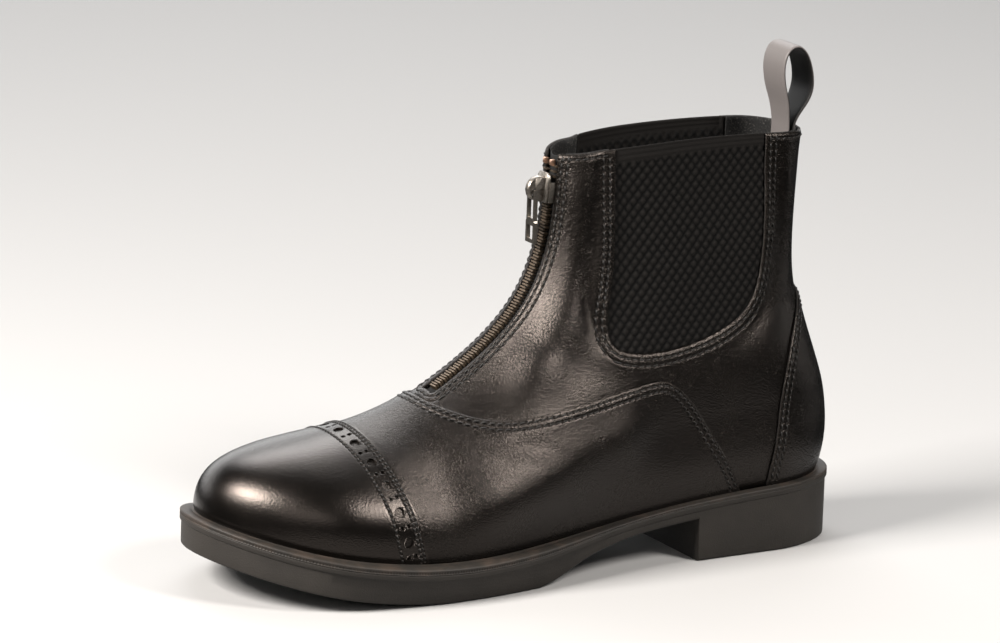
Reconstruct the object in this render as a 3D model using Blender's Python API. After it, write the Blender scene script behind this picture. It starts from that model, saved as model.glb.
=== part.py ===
"""Left jodhpur boot: front zip, elastic side gussets, punched toe cap, unit sole with block heel.

Frame: +X to the toe, +Y to the wearer's left (outer side), +Z up, origin on the floor under the middle
of the sole. The working sizes are in millimetres: along runs from the heel to the toe, across to the
outer side, up from the floor.
"""

import bmesh
import bpy
import numpy as np

MM = 0.001

# Leather, elastic and gaps
GAP = 0.3
WALL = 1.8
OVERLAY = 1.0
CAP = 1.7
ELASTIC = 1.3

# Sole unit
WELT_HEIGHT_FORE = 3.2
WELT_HEIGHT_REAR = 1.6
MARGIN_FORE = 7.0
MARGIN_REAR = 3.8
MARGIN_BACK = 5.7
HEEL_BREAST = 69.0
BREAST_RUN = 0.5
FORE_START = 146.0
FORE_END = 188.0
TOE_SPRING = 16.5
LIP_HEIGHT = 2.0
LIP_STEP = 0.6
BOTTOM_EDGE = 1.2
FORE_DRAFT = 3.0
DRAFT_FOOT = 0.8
DRAFT_IN = (110, 150)
DRAFT_OUT = (200, 250)
SPRING_POWER = 1.7
WELT_BLEND = (105, 150)
WELT_RIM = 0.7
MARGIN_BLEND = (80, 160)
BACK_BLEND = (0, 18)
INSOLE = 3.0

# Front zip, measured from the front edge of the shaft
ZIP_HALF = 5.2
ZIP_FOOT = 178.0
TAPE = (-3.0, -2.1)
CHAIN = (-1.8, -0.4)
CHAIN_TOOTH = 0.5
CHAIN_PITCH = 3.0
CHAIN_HALF = 2.8
SLIDER_BOTTOM = 145.5
SLIDER_TOP = 157.5
SLIDER = (-1.1, 2.2)
SLIDER_FOOT_HALF = 3.2
SLIDER_HALF = 4.6
SLIDER_HEAD_HALF = 3.4
SLIDER_HEAD = 3.0
BAIL_HALF = 5.2
BAIL_THICK = 3.0
BAIL_RIM = 2.8
BAIL_SINK = 0.4
EYE_ROUND = 1.45
PIVOT_UP = 150.0
PIVOT_OUT = 6.0
PULL_LENGTH = 20.5
PULL_HALF = 3.4
PULL_THICK = 1.5
PULL_WAIST = 3.0
PULL_HEAD = 0.9
PULL_BOX = 8.4
PULL_SHOULDER = 0.6
PULL_SLOT_HALF = 1.95
PULL_SLOT_FOOT = 10.0
PULL_WINDOW_HALF = 2.1
PULL_WINDOW = (1.6, 7.0)
TAPE_PITCH = 6.0

# Pull loop at the back of the collar
STRAP_HALF = 8.0
STRAP_FOOT_HALF = 6.5
STRAP = 1.5
STRAP_BLEND = (168, 184)

# Facets
AROUND_SIDE = 21
LEVELS = 23
LEVEL_BIAS = 1.35
SOLE_STATIONS = 34
STATION_CLEAR = 3.0
SOLE_FINE = 120
WELT_SIDE = 30
INSOLE_SIDE = 20
LOOP_STEPS = 40

# Reach of the cutting tools
SIDE_REACH = 80.0
GUSSET_REACH = (1.5, 70.0)
TOOL_TOP = 190.0
SLOT_REACH = (-9.0, 12.0)


def table(names, *rows):
    """A table with named columns, one row for each section."""
    return dict(zip(names.split(), np.array(rows, float).T))


# Where the upper meets the welt, seen from the side
FEATHER = table(
    "along up",
    (-6, 28.3), (0, 28.2), (40, 26.8), (71, 24.8), (111, 20.4), (151, 16.8),
    (180, 15.8), (202, 16.8), (217, 18.4), (245, 23.4), (271.5, 30.5), (280, 33.2),
)
# Toe, vamp, instep and front of the shaft
FRONT = table(
    "along up",
    (269.5, 30), (269, 36.3), (266.8, 42.2), (260.3, 48.4), (247.3, 53.5),
    (229.6, 57.2), (206.4, 62.3), (181, 72.6), (160.7, 85.6), (151.9, 92.5),
    (143.1, 101.3), (135.5, 112.5), (129.6, 128.8), (127.2, 145.9), (126.4, 165),
)
# Heel and back of the shaft
BACK = table(
    "along up",
    (0.5, 28.2), (-1.7, 39.3), (-2.1, 49.4), (-0.8, 61.4), (3.3, 74.4),
    (8.3, 88.4), (12.3, 102.4), (14.4, 119.4), (13.8, 141.5), (12.4, 167.7),
)
# Half widths of the last at the welt, and the sideways curve of its centre line
PLAN = table(
    "along outer inner centre",
    (-5, 28.3, 28.3, 0), (34, 28.3, 28.3, 0), (70, 29.3, 27.3, 0), (110, 31.3, 26.8, 0),
    (145, 37.3, 31.8, -0.3), (178, 42.3, 39.8, -0.9), (200, 43, 43.5, -1.5), (225, 40.8, 44.3, -2.8),
    (250, 36.3, 40.8, -5), (271.5, 32.3, 36.3, -8),
)
# Half widths of ankle and shaft, and how far the front and back edges round off
SHAFT = table(
    "up outer inner front_round back_round",
    (27, 30, 30, 69, 34), (50, 31, 31, 69, 36), (75, 29, 29, 69, 39), (100, 25, 26, 64, 38),
    (125, 21, 23.5, 57, 31), (150, 17.5, 21, 50, 22), (170, 16, 20, 46, 18),
)
TOE_ROUND = 46.0
COLLAR_RISE = 3.0
# Fullness of the foot's cross-sections: 2 is an ellipse, less is more of a ridge
CROWN = table("along power", (185, 1.7), (215, 2.0), (240, 2.2), (272, 2.1))
# The instep comes to more of a ridge than toe and shaft, and its very top is rounded
PEAK = 0.14
PEAK_IN = (124, 168)
PEAK_OUT = (188, 240)
RIDGE_SOFT = 0.6
# Where the shaft passes into the vamp, and the foot into the shaft
VAMP_BLEND = (124, 190)
ANKLE_BLEND = (20, 75)
# Fullness just above the welt, and the rounding of toe and heel seen from above
BELLY = 0.05
BELLY_HEIGHT = 34.0
PLAN_POWER = 2.2

# Edges of the pieces, seen from the side
GUSSET_EDGE = table(
    "along up",
    (104, 190), (104, 168), (104.2, 147), (106.2, 117), (110, 99), (108.5, 91.5), (104, 88.3),
    (85, 87), (57, 94), (43.5, 104.5), (37.5, 124), (36, 150), (35.8, 190),
)
VAMP_EDGE = table(
    "along up",
    (190, 80), (184, 72.5), (177.3, 69.2), (163.6, 66), (146.9, 66.7), (122.9, 70.3), (107.4, 73),
    (92, 75.4), (86, 75.2), (79.6, 71.6), (70, 60.6), (62.4, 48.9), (55.5, 38.7), (49.7, 28.2), (45, 19),
)
CAP_EDGE = table(
    "along up",
    (196, 8), (198.6, 18), (200.9, 26.7), (203.7, 38.5), (206, 48.7), (209, 58), (215, 72),
)
COUNTER_EDGE = table(
    "along up",
    (36.4, 18), (35.8, 30), (34.8, 37.6), (32.8, 49.7), (30.6, 66.3), (26, 82), (19, 95), (4, 112),
)
# Middle of the strap of the pull loop, from its front end to its back end
LOOP_PATH = table(
    "along up",
    (20, 152), (19.1, 167.4), (19.4, 172.7), (20.4, 178.2), (22.1, 184), (23.2, 190), (22.9, 195.6),
    (20.8, 199.9), (17.3, 201.2), (13.7, 199), (11, 194), (9.6, 187.7), (9.9, 182.3), (12, 177.5),
    (14.8, 173.2), (16.4, 169.8), (16.9, 167.4), (17.9, 152),
)

# Underside of the sole between the heel breast and the tread
SOLE_WAIST = table(
    "along up",
    (69, 17.3), (95, 14.8), (111, 12.2), (126, 7.6), (138, 2.2), (146, 0),
)
# Far corners that close the overlays' outlines outside the boot
CAP_FAR = ((320, 90), (320, 5))
VAMP_FOOT = (45, 5)
VAMP_TOP = (215, 95)
VAMP_DROP = (0, 3)
COUNTER_FAR = ((-20, 112), (-20, 18))


def spline(knots, values):
    """Natural cubic curve through the rows of a table."""
    count = len(knots)
    gap = np.diff(knots)
    rise = np.diff(values) / gap
    matrix = np.eye(count)
    right = np.zeros(count)
    for i in range(1, count - 1):
        matrix[i, i - 1:i + 2] = gap[i - 1], 2 * (gap[i - 1] + gap[i]), gap[i]
        right[i] = 6 * (rise[i] - rise[i - 1])
    bend = np.linalg.solve(matrix, right)

    def curve(at):
        at = np.clip(np.asarray(at, float), knots[0], knots[-1])
        i = np.clip(np.searchsorted(knots, at) - 1, 0, count - 2)
        before = at - knots[i]
        after = knots[i + 1] - at
        cubic = (bend[i] * after**3 + bend[i + 1] * before**3) / (6 * gap[i])
        start = (values[i] / gap[i] - bend[i] * gap[i] / 6) * after
        end = (values[i + 1] / gap[i] - bend[i + 1] * gap[i] / 6) * before
        return cubic + start + end

    return curve


def column(rows, name, key="along"):
    return spline(rows[key], rows[name])


def path(rows, count):
    """Evenly spread points of the smooth line through a table's (along, up) rows."""
    points = np.stack([rows["along"], rows["up"]], 1)
    knots = np.r_[0, np.cumsum(np.sqrt(np.linalg.norm(np.diff(points, axis=0), axis=1)))]
    fine = np.linspace(0, knots[-1], 1500)
    line = np.stack([spline(knots, points[:, 0])(fine), spline(knots, points[:, 1])(fine)], 1)
    length = np.r_[0, np.cumsum(np.linalg.norm(np.diff(line, axis=0), axis=1))]
    even = np.linspace(0, length[-1], count)
    return np.stack([np.interp(even, length, line[:, 0]), np.interp(even, length, line[:, 1])], 1)


def ease(low, high, at):
    share = np.clip((at - low) / (high - low), 0, 1)
    return share * share * (3 - 2 * share)


RIDGE = path(FRONT, 1500)
TOE_TIP = FRONT["along"][0]
HEEL_UP = BACK["up"][0]
COLLAR_BACK_UP = BACK["up"][-1]
feather_up = column(FEATHER, "up")
back_along = column(BACK, "along", "up")
centre_across = column(PLAN, "centre")
plan_half = {1: column(PLAN, "outer"), -1: column(PLAN, "inner")}
shaft_half = {1: column(SHAFT, "outer", "up"), -1: column(SHAFT, "inner", "up")}
front_round = column(SHAFT, "front_round", "up")
back_round = column(SHAFT, "back_round", "up")


def ridge_up(along):
    return np.interp(along, RIDGE[::-1, 0], RIDGE[::-1, 1])


def ridge_along(up):
    return np.interp(up, RIDGE[:, 1], RIDGE[:, 0])


def crown_width(drop, peak):
    """Width share below a crown: the peak sharpens it, and the softening rounds the very top."""
    drop = np.clip(drop, 0, 1)
    return np.sqrt((drop**(2 * peak) + RIDGE_SOFT * drop) / (1 + RIDGE_SOFT))


def plan_round(share):
    """Width share at the rounded end of the plan, from 0 at its tip to 1."""
    return np.sqrt(np.clip(1 - (1 - np.clip(share, 0, 1))**PLAN_POWER, 0, 1))


def half_width(along, up, side):
    """Half width of the upper at a place of its side view; side is 1 for outer and -1 for inner."""
    foot = plan_half[side](along) * plan_round((TOE_TIP - along) / TOE_ROUND)
    floor = feather_up(along)
    vamp_share = ease(*VAMP_BLEND, along)
    height = np.clip((up - floor) / np.maximum(ridge_up(along) - floor, 0.5), 0, 1)
    inside = np.clip((ridge_along(up) - along) / front_round(up), 0, 1)
    power = np.interp(along, CROWN["along"], CROWN["power"])
    peak = 0.5 + PEAK * ease(*PEAK_IN, along) * (1 - ease(*PEAK_OUT, along))
    over_foot = crown_width(1 - height**power, peak)
    over_shaft = crown_width(1 - (1 - inside)**2, peak)
    crown = vamp_share * over_foot + (1 - vamp_share) * over_shaft
    ankle = ease(*ANKLE_BLEND, up - floor) * (1 - vamp_share)
    half = foot * (1 - ankle) + shaft_half[side](up) * ankle
    half = half * (1 + BELLY * np.sin(np.pi * np.clip((up - floor) / BELLY_HEIGHT, 0, 1))**2)
    return half * crown * plan_round((along - back_along(up)) / back_round(up))


def upper_rings(levels, around_side):
    """Closed rings of the upper's outer face from the welt to the collar, starting at the toe."""
    share = np.linspace(0, 1, levels)[:, None]**LEVEL_BIAS
    steps = np.r_[0, np.cumsum(np.linalg.norm(np.diff(RIDGE, axis=0), axis=1))]
    front = np.stack([np.interp(share * steps[-1], steps, RIDGE[:, k]) for k in (0, 1)])
    rear_up = HEEL_UP + share * (COLLAR_BACK_UP - HEEL_UP)
    turn = np.linspace(0, np.pi, around_side + 1)
    run = (1 - np.cos(turn)) / 2
    along = front[0] + (back_along(rear_up) - front[0]) * run
    up = front[1] + (rear_up - front[1]) * run
    straight = feather_up(front[0]) * (1 - run) + HEEL_UP * run
    up = up + (1 - share)**3 * (feather_up(along) - straight)
    up = up + COLLAR_RISE * share**4 * np.sin(turn)**2
    roof = np.where(along > FRONT["along"][-1] + 1, ridge_up(along), 999)
    up = np.clip(up, feather_up(along), roof)
    sides = []
    for side in (1, -1):
        across = centre_across(along) + side * half_width(along, up, side)
        sides.append(np.stack([along, across, up], -1))
    return np.concatenate([sides[0], sides[1][:, -2:0:-1]], axis=1)


def outward(rings):
    """Normals of a stack of closed rings."""
    around = np.roll(rings, -1, axis=1) - np.roll(rings, 1, axis=1)
    rise = np.gradient(rings, axis=0)
    normal = np.cross(around, rise)
    normal = normal / np.linalg.norm(normal, axis=2, keepdims=True)
    return normal if normal[len(rings) // 2, 0, 0] > 0 else -normal


RINGS = upper_rings(LEVELS, AROUND_SIDE)
NORMALS = outward(RINGS)


def welt_height(along):
    return WELT_HEIGHT_REAR + (WELT_HEIGHT_FORE - WELT_HEIGHT_REAR) * ease(*WELT_BLEND, along)


def sole_top(along):
    return feather_up(along) - welt_height(along)


def sole_margin(along):
    """How far the sole stands out past the upper: most at the forepart, least at the heel's sides."""
    fore = MARGIN_REAR + (MARGIN_FORE - MARGIN_REAR) * ease(*MARGIN_BLEND, along)
    return fore + (MARGIN_BACK - MARGIN_REAR) * (1 - ease(*BACK_BLEND, along))


def sole_bottom(along):
    """Underside: heel flat, raised waist, flat tread at the ball, toe spring."""
    waist = np.clip(column(SOLE_WAIST, "up")(along), 0, None)
    lift = np.clip((along - FORE_END) / (TOE_TIP + MARGIN_FORE - FORE_END), 0, 1)
    fore = TOE_SPRING * lift**SPRING_POWER
    return np.where(along <= HEEL_BREAST, 0, np.where(along < FORE_START, waist, fore))


def plan_outward(ring):
    """Level normals of a closed ring, pointing away from it."""
    step = np.roll(ring, -1, axis=0) - np.roll(ring, 1, axis=0)
    normal = np.stack([step[:, 1], -step[:, 0]], 1)
    normal = normal / np.linalg.norm(normal, axis=1, keepdims=True)
    return normal if normal[0, 0] > 0 else -normal


def sole_outline():
    """Outline of the sole: the same stations down both sides, two of them at the heel breast."""
    fine = upper_rings(2, SOLE_FINE)[0]
    edge = fine[:, :2] + plan_outward(fine[:, :2]) * sole_margin(fine[:, :1])
    toe, heel = edge[0], edge[SOLE_FINE]
    outer = edge[:SOLE_FINE + 1][::-1]
    inner = np.concatenate([edge[SOLE_FINE:], edge[:1]])
    spread = (1 - np.cos(np.linspace(0, np.pi, SOLE_STATIONS))) / 2
    stations = heel[0] + (toe[0] - heel[0]) * spread
    fixed = np.array([HEEL_BREAST, HEEL_BREAST + BREAST_RUN, FORE_START, FORE_END])
    near = np.abs(stations[:, None] - fixed).min(axis=1) < STATION_CLEAR
    stations = np.sort(np.r_[stations[~near], fixed])[1:-1]
    left = np.stack([stations, np.interp(stations, outer[:, 0], outer[:, 1])], 1)
    right = np.stack([stations, np.interp(stations, inner[:, 0], inner[:, 1])], 1)
    return np.concatenate([[toe], left[::-1], [heel], right])


SOLE_EDGE = sole_outline()
SOLE_OUT = plan_outward(SOLE_EDGE)
ORIGIN = np.r_[(SOLE_EDGE.max(axis=0) + SOLE_EDGE.min(axis=0)) / 2, 0]


for old in list(bpy.data.objects):
    bpy.data.objects.remove(old)
boot = bpy.data.collections.new("jodhpur_boot")
cutters = bpy.data.collections.new("cutters")
cutters.hide_render = True
for group in (boot, cutters):
    bpy.context.scene.collection.children.link(group)


def finish(name, colour, rough, metal=0.0):
    material = bpy.data.materials.new(name)
    material.use_nodes = True
    shader = material.node_tree.nodes["Principled BSDF"]
    shader.inputs["Base Color"].default_value = (*colour, 1)
    shader.inputs["Roughness"].default_value = rough
    shader.inputs["Metallic"].default_value = metal
    return material


LEATHER = finish("leather", (0.02, 0.018, 0.017), 0.35)
RUBBER = finish("rubber", (0.03, 0.03, 0.03), 0.7)
FABRIC = finish("fabric", (0.015, 0.015, 0.015), 0.9)
METAL = finish("metal", (0.35, 0.3, 0.25), 0.35, 1.0)


def add(name, points, faces, material, at=None):
    """One object from points in millimetres; at is its own origin, on its joint axis if it moves."""
    at = ORIGIN if at is None else np.asarray(at, float)
    mesh = bpy.data.meshes.new(name)
    mesh.from_pydata(((np.asarray(points) - at) * MM).tolist(), [], faces)
    shape = bmesh.new()
    shape.from_mesh(mesh)
    bmesh.ops.triangulate(shape, faces=[f for f in shape.faces if len(f.verts) > 3])
    bmesh.ops.recalc_face_normals(shape, faces=shape.faces)
    if shape.calc_volume(signed=True) < 0:
        bmesh.ops.reverse_faces(shape, faces=shape.faces)
    shape.to_mesh(mesh)
    shape.free()
    thing = bpy.data.objects.new(name, mesh)
    thing.location = (at - ORIGIN) * MM
    if material is None:
        thing.hide_render = True
        thing.display_type = "WIRE"
        cutters.objects.link(thing)
    else:
        mesh.materials.append(material)
        boot.objects.link(thing)
    return thing


def cut(thing, tool, operation="DIFFERENCE"):
    modifier = thing.modifiers.new(f"{operation.lower()} {tool.name}", "BOOLEAN")
    modifier.operation = operation
    modifier.solver = "EXACT"
    modifier.object = tool


def band(low, high, count, flip=False):
    """Triangles between two rings whose points start at these indices, always split the same way."""
    faces = []
    for i in range(count):
        j = (i + 1) % count
        faces += [(low + i, low + j, high + j), (low + i, high + j, high + i)]
    return [f[::-1] for f in faces] if flip else faces


def shell(name, inner, outer, material):
    """Closed wall between two stacks of rings."""
    levels, around = outer.shape[:2]
    points = np.concatenate([outer.reshape(-1, 3), inner.reshape(-1, 3)])
    second = levels * around
    faces = []
    for k in range(levels - 1):
        faces += band(k * around, (k + 1) * around, around)
        faces += band(second + k * around, second + (k + 1) * around, around, True)
    faces += band(second, 0, around)
    faces += band((levels - 1) * around, second + (levels - 1) * around, around)
    return add(name, points, faces, material)


def offset_shell(name, low, high, material, foot):
    """Wall between two distances from the upper's outer face; foot moves its lower edge up or down."""
    base = RINGS.copy()
    base[0, :, 2] += foot
    return shell(name, base + NORMALS * low, base + NORMALS * high, material)


def prism(name, outline, low, high, material=None, at=None, plane="side"):
    """Outline drawn in the side view (along, up) or front view (across, up), pulled through its depth."""
    outline = np.asarray(outline, float)
    count = len(outline)
    ends = []
    for depth in (low, high):
        level = np.full(count, depth)
        order = (outline[:, 0], level) if plane == "side" else (level, outline[:, 0])
        ends.append(np.stack([*order, outline[:, 1]], 1))
    faces = [tuple(range(count)), tuple(range(2 * count - 1, count - 1, -1))]
    faces += [(i, (i + 1) % count, count + (i + 1) % count, count + i) for i in range(count)]
    return add(name, np.concatenate(ends), faces, material, at)


def grown(line, distance):
    """An open line moved sideways, to its left as it runs."""
    step = np.gradient(line, axis=0)
    step = step / np.linalg.norm(step, axis=1, keepdims=True)
    return line + distance * np.stack([-step[:, 1], step[:, 0]], 1)


def make_upper():
    base = RINGS.copy()
    foot = RINGS[0].copy()
    foot[:, 2] = sole_top(foot[:, 0]) + GAP
    outer = np.concatenate([[foot], base])
    normals = np.concatenate([NORMALS[:1], NORMALS])
    normals[0, :, 2] = 0
    normals[1, :, 2] = 0
    normals[:2] /= np.linalg.norm(normals[:2], axis=2, keepdims=True)
    return shell("upper", outer - normals * WALL, outer, LEATHER)


def make_sole():
    along = SOLE_EDGE[:, 0]
    top = sole_top(along)
    bottom = sole_bottom(along)
    draft = FORE_DRAFT * ease(*DRAFT_IN, along) * (1 - ease(*DRAFT_OUT, along))
    level = np.zeros(len(along))
    profile = (
        (LIP_STEP + BOTTOM_EDGE + draft, bottom),
        (LIP_STEP + DRAFT_FOOT * draft, bottom + BOTTOM_EDGE),
        (LIP_STEP + level, top - LIP_HEIGHT - LIP_STEP),
        (level, top - LIP_HEIGHT),
        (level, top),
    )
    rings = [np.c_[SOLE_EDGE - SOLE_OUT * inset[:, None], up] for inset, up in profile]
    return add("outsole", np.concatenate(rings), ring_faces(len(rings), len(along)), RUBBER)


def ring_faces(levels, around):
    """Faces of a stack of rings, closed above and below by cross strips from side to side."""
    faces = []
    for k in range(levels - 1):
        faces += band(k * around, (k + 1) * around, around)
    half = around // 2
    for start, flip in ((0, True), ((levels - 1) * around, False)):
        strip = [(start, start + 1, start + around - 1)]
        for i in range(1, half - 1):
            left, right = start + i, start + around - i
            strip += [(left, left + 1, right), (left + 1, right - 1, right)]
        strip.append((start + half - 1, start + half, start + half + 1))
        faces += [f[::-1] for f in strip] if flip else strip
    return faces


def make_welt():
    fine = upper_rings(2, WELT_SIDE)[0]
    out = plan_outward(fine[:, :2])
    inside = fine[:, :2] + out * GAP
    outside = fine[:, :2] + out * sole_margin(fine[:, :1])
    rise = welt_height(fine[:, 0])
    low_in = np.c_[inside, sole_top(inside[:, 0]) + GAP]
    low_out = np.c_[outside, sole_top(outside[:, 0]) + GAP]
    high_in = np.c_[inside, feather_up(inside[:, 0])]
    high_out = np.c_[outside, sole_top(outside[:, 0]) + WELT_RIM * rise]
    rings = np.stack([low_in, low_out, high_out, high_in])
    around = len(fine)
    faces = []
    for k in range(4):
        faces += band(k * around, (k + 1) % 4 * around, around)
    return add("welt", rings.reshape(-1, 3), faces, RUBBER)


def make_insole():
    fine = upper_rings(2, INSOLE_SIDE)[0]
    inset = fine[:, :2] - plan_outward(fine[:, :2]) * (WALL + 2 * GAP)
    low = sole_top(fine[:, 0]) + GAP
    rings = [np.c_[inset, low], np.c_[inset, low + INSOLE]]
    return add("insole", np.concatenate(rings), ring_faces(2, len(fine)), FABRIC)


def gusset_tool(name, shrink, side):
    edge = grown(path(GUSSET_EDGE, 48), -shrink)
    return prism(name, edge, side * GUSSET_REACH[0], side * GUSSET_REACH[1])


def zip_tool(name, shrink):
    run = RIDGE[(RIDGE[:, 0] < ZIP_FOOT - shrink)][::40]
    run = np.concatenate([run, [(RIDGE[-1, 0], TOOL_TOP)]])
    outline = np.concatenate([grown(run, SLOT_REACH[0]), grown(run, SLOT_REACH[1])[::-1]])
    return prism(name, outline, shrink - ZIP_HALF, ZIP_HALF - shrink)


def bar(name, rings, material):
    """Solid through a row of four-cornered sections."""
    faces = []
    for k in range(len(rings) - 1):
        faces += band(k * 4, (k + 1) * 4, 4)
    last = (len(rings) - 1) * 4
    faces += [(0, 1, 2, 3), (last + 3, last + 2, last + 1, last)]
    return add(name, rings.reshape(-1, 3), faces, material)


def front_strip(name, low, high, half, along_start, up_end, material, tooth=0.0, pitch=CHAIN_PITCH):
    """A strip that follows the front of the shaft, with an even row of teeth across it if tooth is given."""
    line = RIDGE[(RIDGE[:, 0] < along_start) & (RIDGE[:, 1] < up_end)]
    length = np.r_[0, np.cumsum(np.linalg.norm(np.diff(line, axis=0), axis=1))]
    count = int(length[-1] // pitch)
    spots = np.linspace(0, length[-1], count + 1)
    if tooth:
        spots = np.sort(np.r_[spots, spots[1:] - 0.05 * pitch, spots[1:-1] - 0.5 * pitch,
                              spots[1:-1] - 0.55 * pitch])
    run = np.stack([np.interp(spots, length, line[:, k]) for k in (0, 1)], 1)
    phase = np.mod(spots / (length[-1] / count) + 0.025, 1.0)
    top = high - tooth * (phase > 0.475)
    out = grown(run, -1.0) - run
    under, over = run + out * low, run + out * top[:, None]
    corners = []
    for line_at, edge in ((under, -half), (under, half), (over, half), (over, -half)):
        corners.append(np.stack([line_at[:, 0], np.full(len(run), edge), line_at[:, 1]], 1))
    return bar(name, np.stack(corners, axis=1), material)


def make_slider():
    front = float(ridge_along(PIVOT_UP))
    right = [(SLIDER_FOOT_HALF, SLIDER_BOTTOM), (SLIDER_HALF, SLIDER_TOP - SLIDER_HEAD),
             (SLIDER_HEAD_HALF, SLIDER_TOP)]
    shield = right + [(-across, up) for across, up in right[::-1]]
    body = prism("zip_slider", shield, front + SLIDER[0], front + SLIDER[1], METAL, plane="front")
    turn = np.linspace(-np.pi / 2, np.pi / 2, 9)
    middle = (SLIDER_BOTTOM + SLIDER_TOP) / 2
    face = front + SLIDER[1]
    reach = PIVOT_OUT + BAIL_RIM - SLIDER[1]
    rim = [(face - BAIL_SINK, middle - BAIL_HALF)]
    rim += [(face + reach * np.cos(t), middle + BAIL_HALF * np.sin(t)) for t in turn]
    rim += [(face - BAIL_SINK, middle + BAIL_HALF)]
    bail = prism("zip_bail", rim, -BAIL_THICK / 2, BAIL_THICK / 2)
    cut(body, bail, "UNION")
    round_eye = np.linspace(0, 2 * np.pi, 17)[:-1]
    eye = [(front + PIVOT_OUT + EYE_ROUND * np.cos(t), PIVOT_UP + EYE_ROUND * np.sin(t)) for t in round_eye]
    cut(body, prism("bail_eye", eye, -BAIL_THICK, BAIL_THICK))
    return body


def make_pull():
    at = np.array([float(ridge_along(PIVOT_UP)) + PIVOT_OUT, 0, PIVOT_UP])
    foot = PIVOT_UP - PULL_LENGTH
    right = [(PULL_HALF, foot), (PULL_HALF, foot + PULL_BOX), (PULL_WAIST, foot + PULL_BOX + PULL_SHOULDER),
             (PULL_WAIST, PIVOT_UP + PULL_HEAD)]
    plate = right + [(-across, up) for across, up in right[::-1]]
    low, high = at[0] - PULL_THICK / 2, at[0] + PULL_THICK / 2
    tab = prism("zip_pull", plate, low, high, METAL, at, "front")
    openings = (
        ("pull_slot", PULL_SLOT_HALF, foot + PULL_SLOT_FOOT, PIVOT_UP - PULL_HEAD),
        ("pull_window", PULL_WINDOW_HALF, foot + PULL_WINDOW[0], foot + PULL_WINDOW[1]),
    )
    for name, half, bottom, top in openings:
        hole = [(-half, bottom), (half, bottom), (half, top), (-half, top)]
        cut(tab, prism(name, hole, low - PULL_THICK, high + PULL_THICK, plane="front"))
    return tab


def make_loop():
    line = path(LOOP_PATH, LOOP_STEPS)
    half = STRAP_FOOT_HALF + (STRAP_HALF - STRAP_FOOT_HALF) * ease(*STRAP_BLEND, line[:, 1])
    corners = []
    for face, side in ((-1, -1), (-1, 1), (1, 1), (1, -1)):
        edge = grown(line, face * STRAP / 2)
        corners.append(np.stack([edge[:, 0], side * half, edge[:, 1]], 1))
    return bar("pull_loop", np.stack(corners, axis=1), LEATHER)


upper = make_upper()
make_sole()
make_welt()
make_insole()
for title, side in (("outer", 1), ("inner", -1)):
    cut(upper, gusset_tool(f"gusset_window_{title}", 0.0, side))
    gusset = offset_shell(f"gusset_{title}", -GAP - ELASTIC, -GAP, FABRIC, GAP)
    cut(gusset, gusset_tool(f"gusset_edge_{title}", GAP, side), "INTERSECT")
cut(upper, zip_tool("zip_slot", 0.0))

cap_line = path(CAP_EDGE, 12)
cap_tool = prism("cap_region", np.concatenate([cap_line, CAP_FAR]), -SIDE_REACH, SIDE_REACH)
toe_cap = offset_shell("toe_cap", GAP, GAP + CAP, LEATHER, GAP)
cut(toe_cap, cap_tool, "INTERSECT")

vamp_line = path(VAMP_EDGE, 60)
cap_rear = grown(cap_line, GAP)
vamp_region = np.concatenate([vamp_line, [VAMP_FOOT], cap_rear[:1] - VAMP_DROP, cap_rear, [VAMP_TOP]])
vamp = offset_shell("vamp", GAP, GAP + OVERLAY, LEATHER, GAP)
cut(vamp, prism("vamp_region", vamp_region, -SIDE_REACH, SIDE_REACH), "INTERSECT")

counter_line = path(COUNTER_EDGE, 20)
counter_region = np.concatenate([counter_line, COUNTER_FAR])
counter = offset_shell("heel_counter", GAP, GAP + OVERLAY, LEATHER, GAP)
cut(counter, prism("counter_region", counter_region, -SIDE_REACH, SIDE_REACH), "INTERSECT")

front_strip("zip_tape", *TAPE, ZIP_HALF - GAP, ZIP_FOOT - GAP, RIDGE[-1, 1] - GAP, FABRIC, pitch=TAPE_PITCH)
front_strip("zip_chain", *CHAIN, CHAIN_HALF, ZIP_FOOT - 2, SLIDER_BOTTOM - GAP, METAL, CHAIN_TOOTH)
make_slider()
make_pull()

make_loop()
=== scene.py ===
# %% [markdown]
# # A left jodhpur boot
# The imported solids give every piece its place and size. This lesson dresses them: smooth leather panels,
# rows of stitching, a woven elastic gusset, a metal zip, a rubber sole, then light and a camera. The frame
# is loaded first, and its box is kept, so that the finished boot can be measured against it.

import bpy
import numpy as np
from mathutils import Matrix, Vector
from mathutils.kdtree import KDTree


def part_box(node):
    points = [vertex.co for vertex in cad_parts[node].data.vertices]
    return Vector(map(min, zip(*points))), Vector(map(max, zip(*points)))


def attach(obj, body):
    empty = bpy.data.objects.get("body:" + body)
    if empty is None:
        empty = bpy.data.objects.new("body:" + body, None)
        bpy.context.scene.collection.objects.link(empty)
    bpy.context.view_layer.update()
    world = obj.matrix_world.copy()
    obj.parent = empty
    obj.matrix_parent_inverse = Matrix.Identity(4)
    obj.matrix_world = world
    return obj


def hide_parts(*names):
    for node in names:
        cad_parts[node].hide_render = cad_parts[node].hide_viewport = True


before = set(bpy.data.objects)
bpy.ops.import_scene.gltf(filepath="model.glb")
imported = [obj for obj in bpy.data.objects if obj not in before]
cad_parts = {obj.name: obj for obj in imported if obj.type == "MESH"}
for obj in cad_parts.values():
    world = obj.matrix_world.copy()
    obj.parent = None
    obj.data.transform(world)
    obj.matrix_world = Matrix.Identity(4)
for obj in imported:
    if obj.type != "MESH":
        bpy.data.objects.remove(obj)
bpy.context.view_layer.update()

MM = 0.001

# %% [markdown]
# ## The last
# A shoe is made over a last, a solid foot. Its side view is a handful of lines, and its widths are short
# tables of sections: the same ones that the solids were made from, in millimetres. A natural cubic curve
# runs through the rows, so that a few numbers give smooth leather at any density.

# %% Tables of the last


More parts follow.
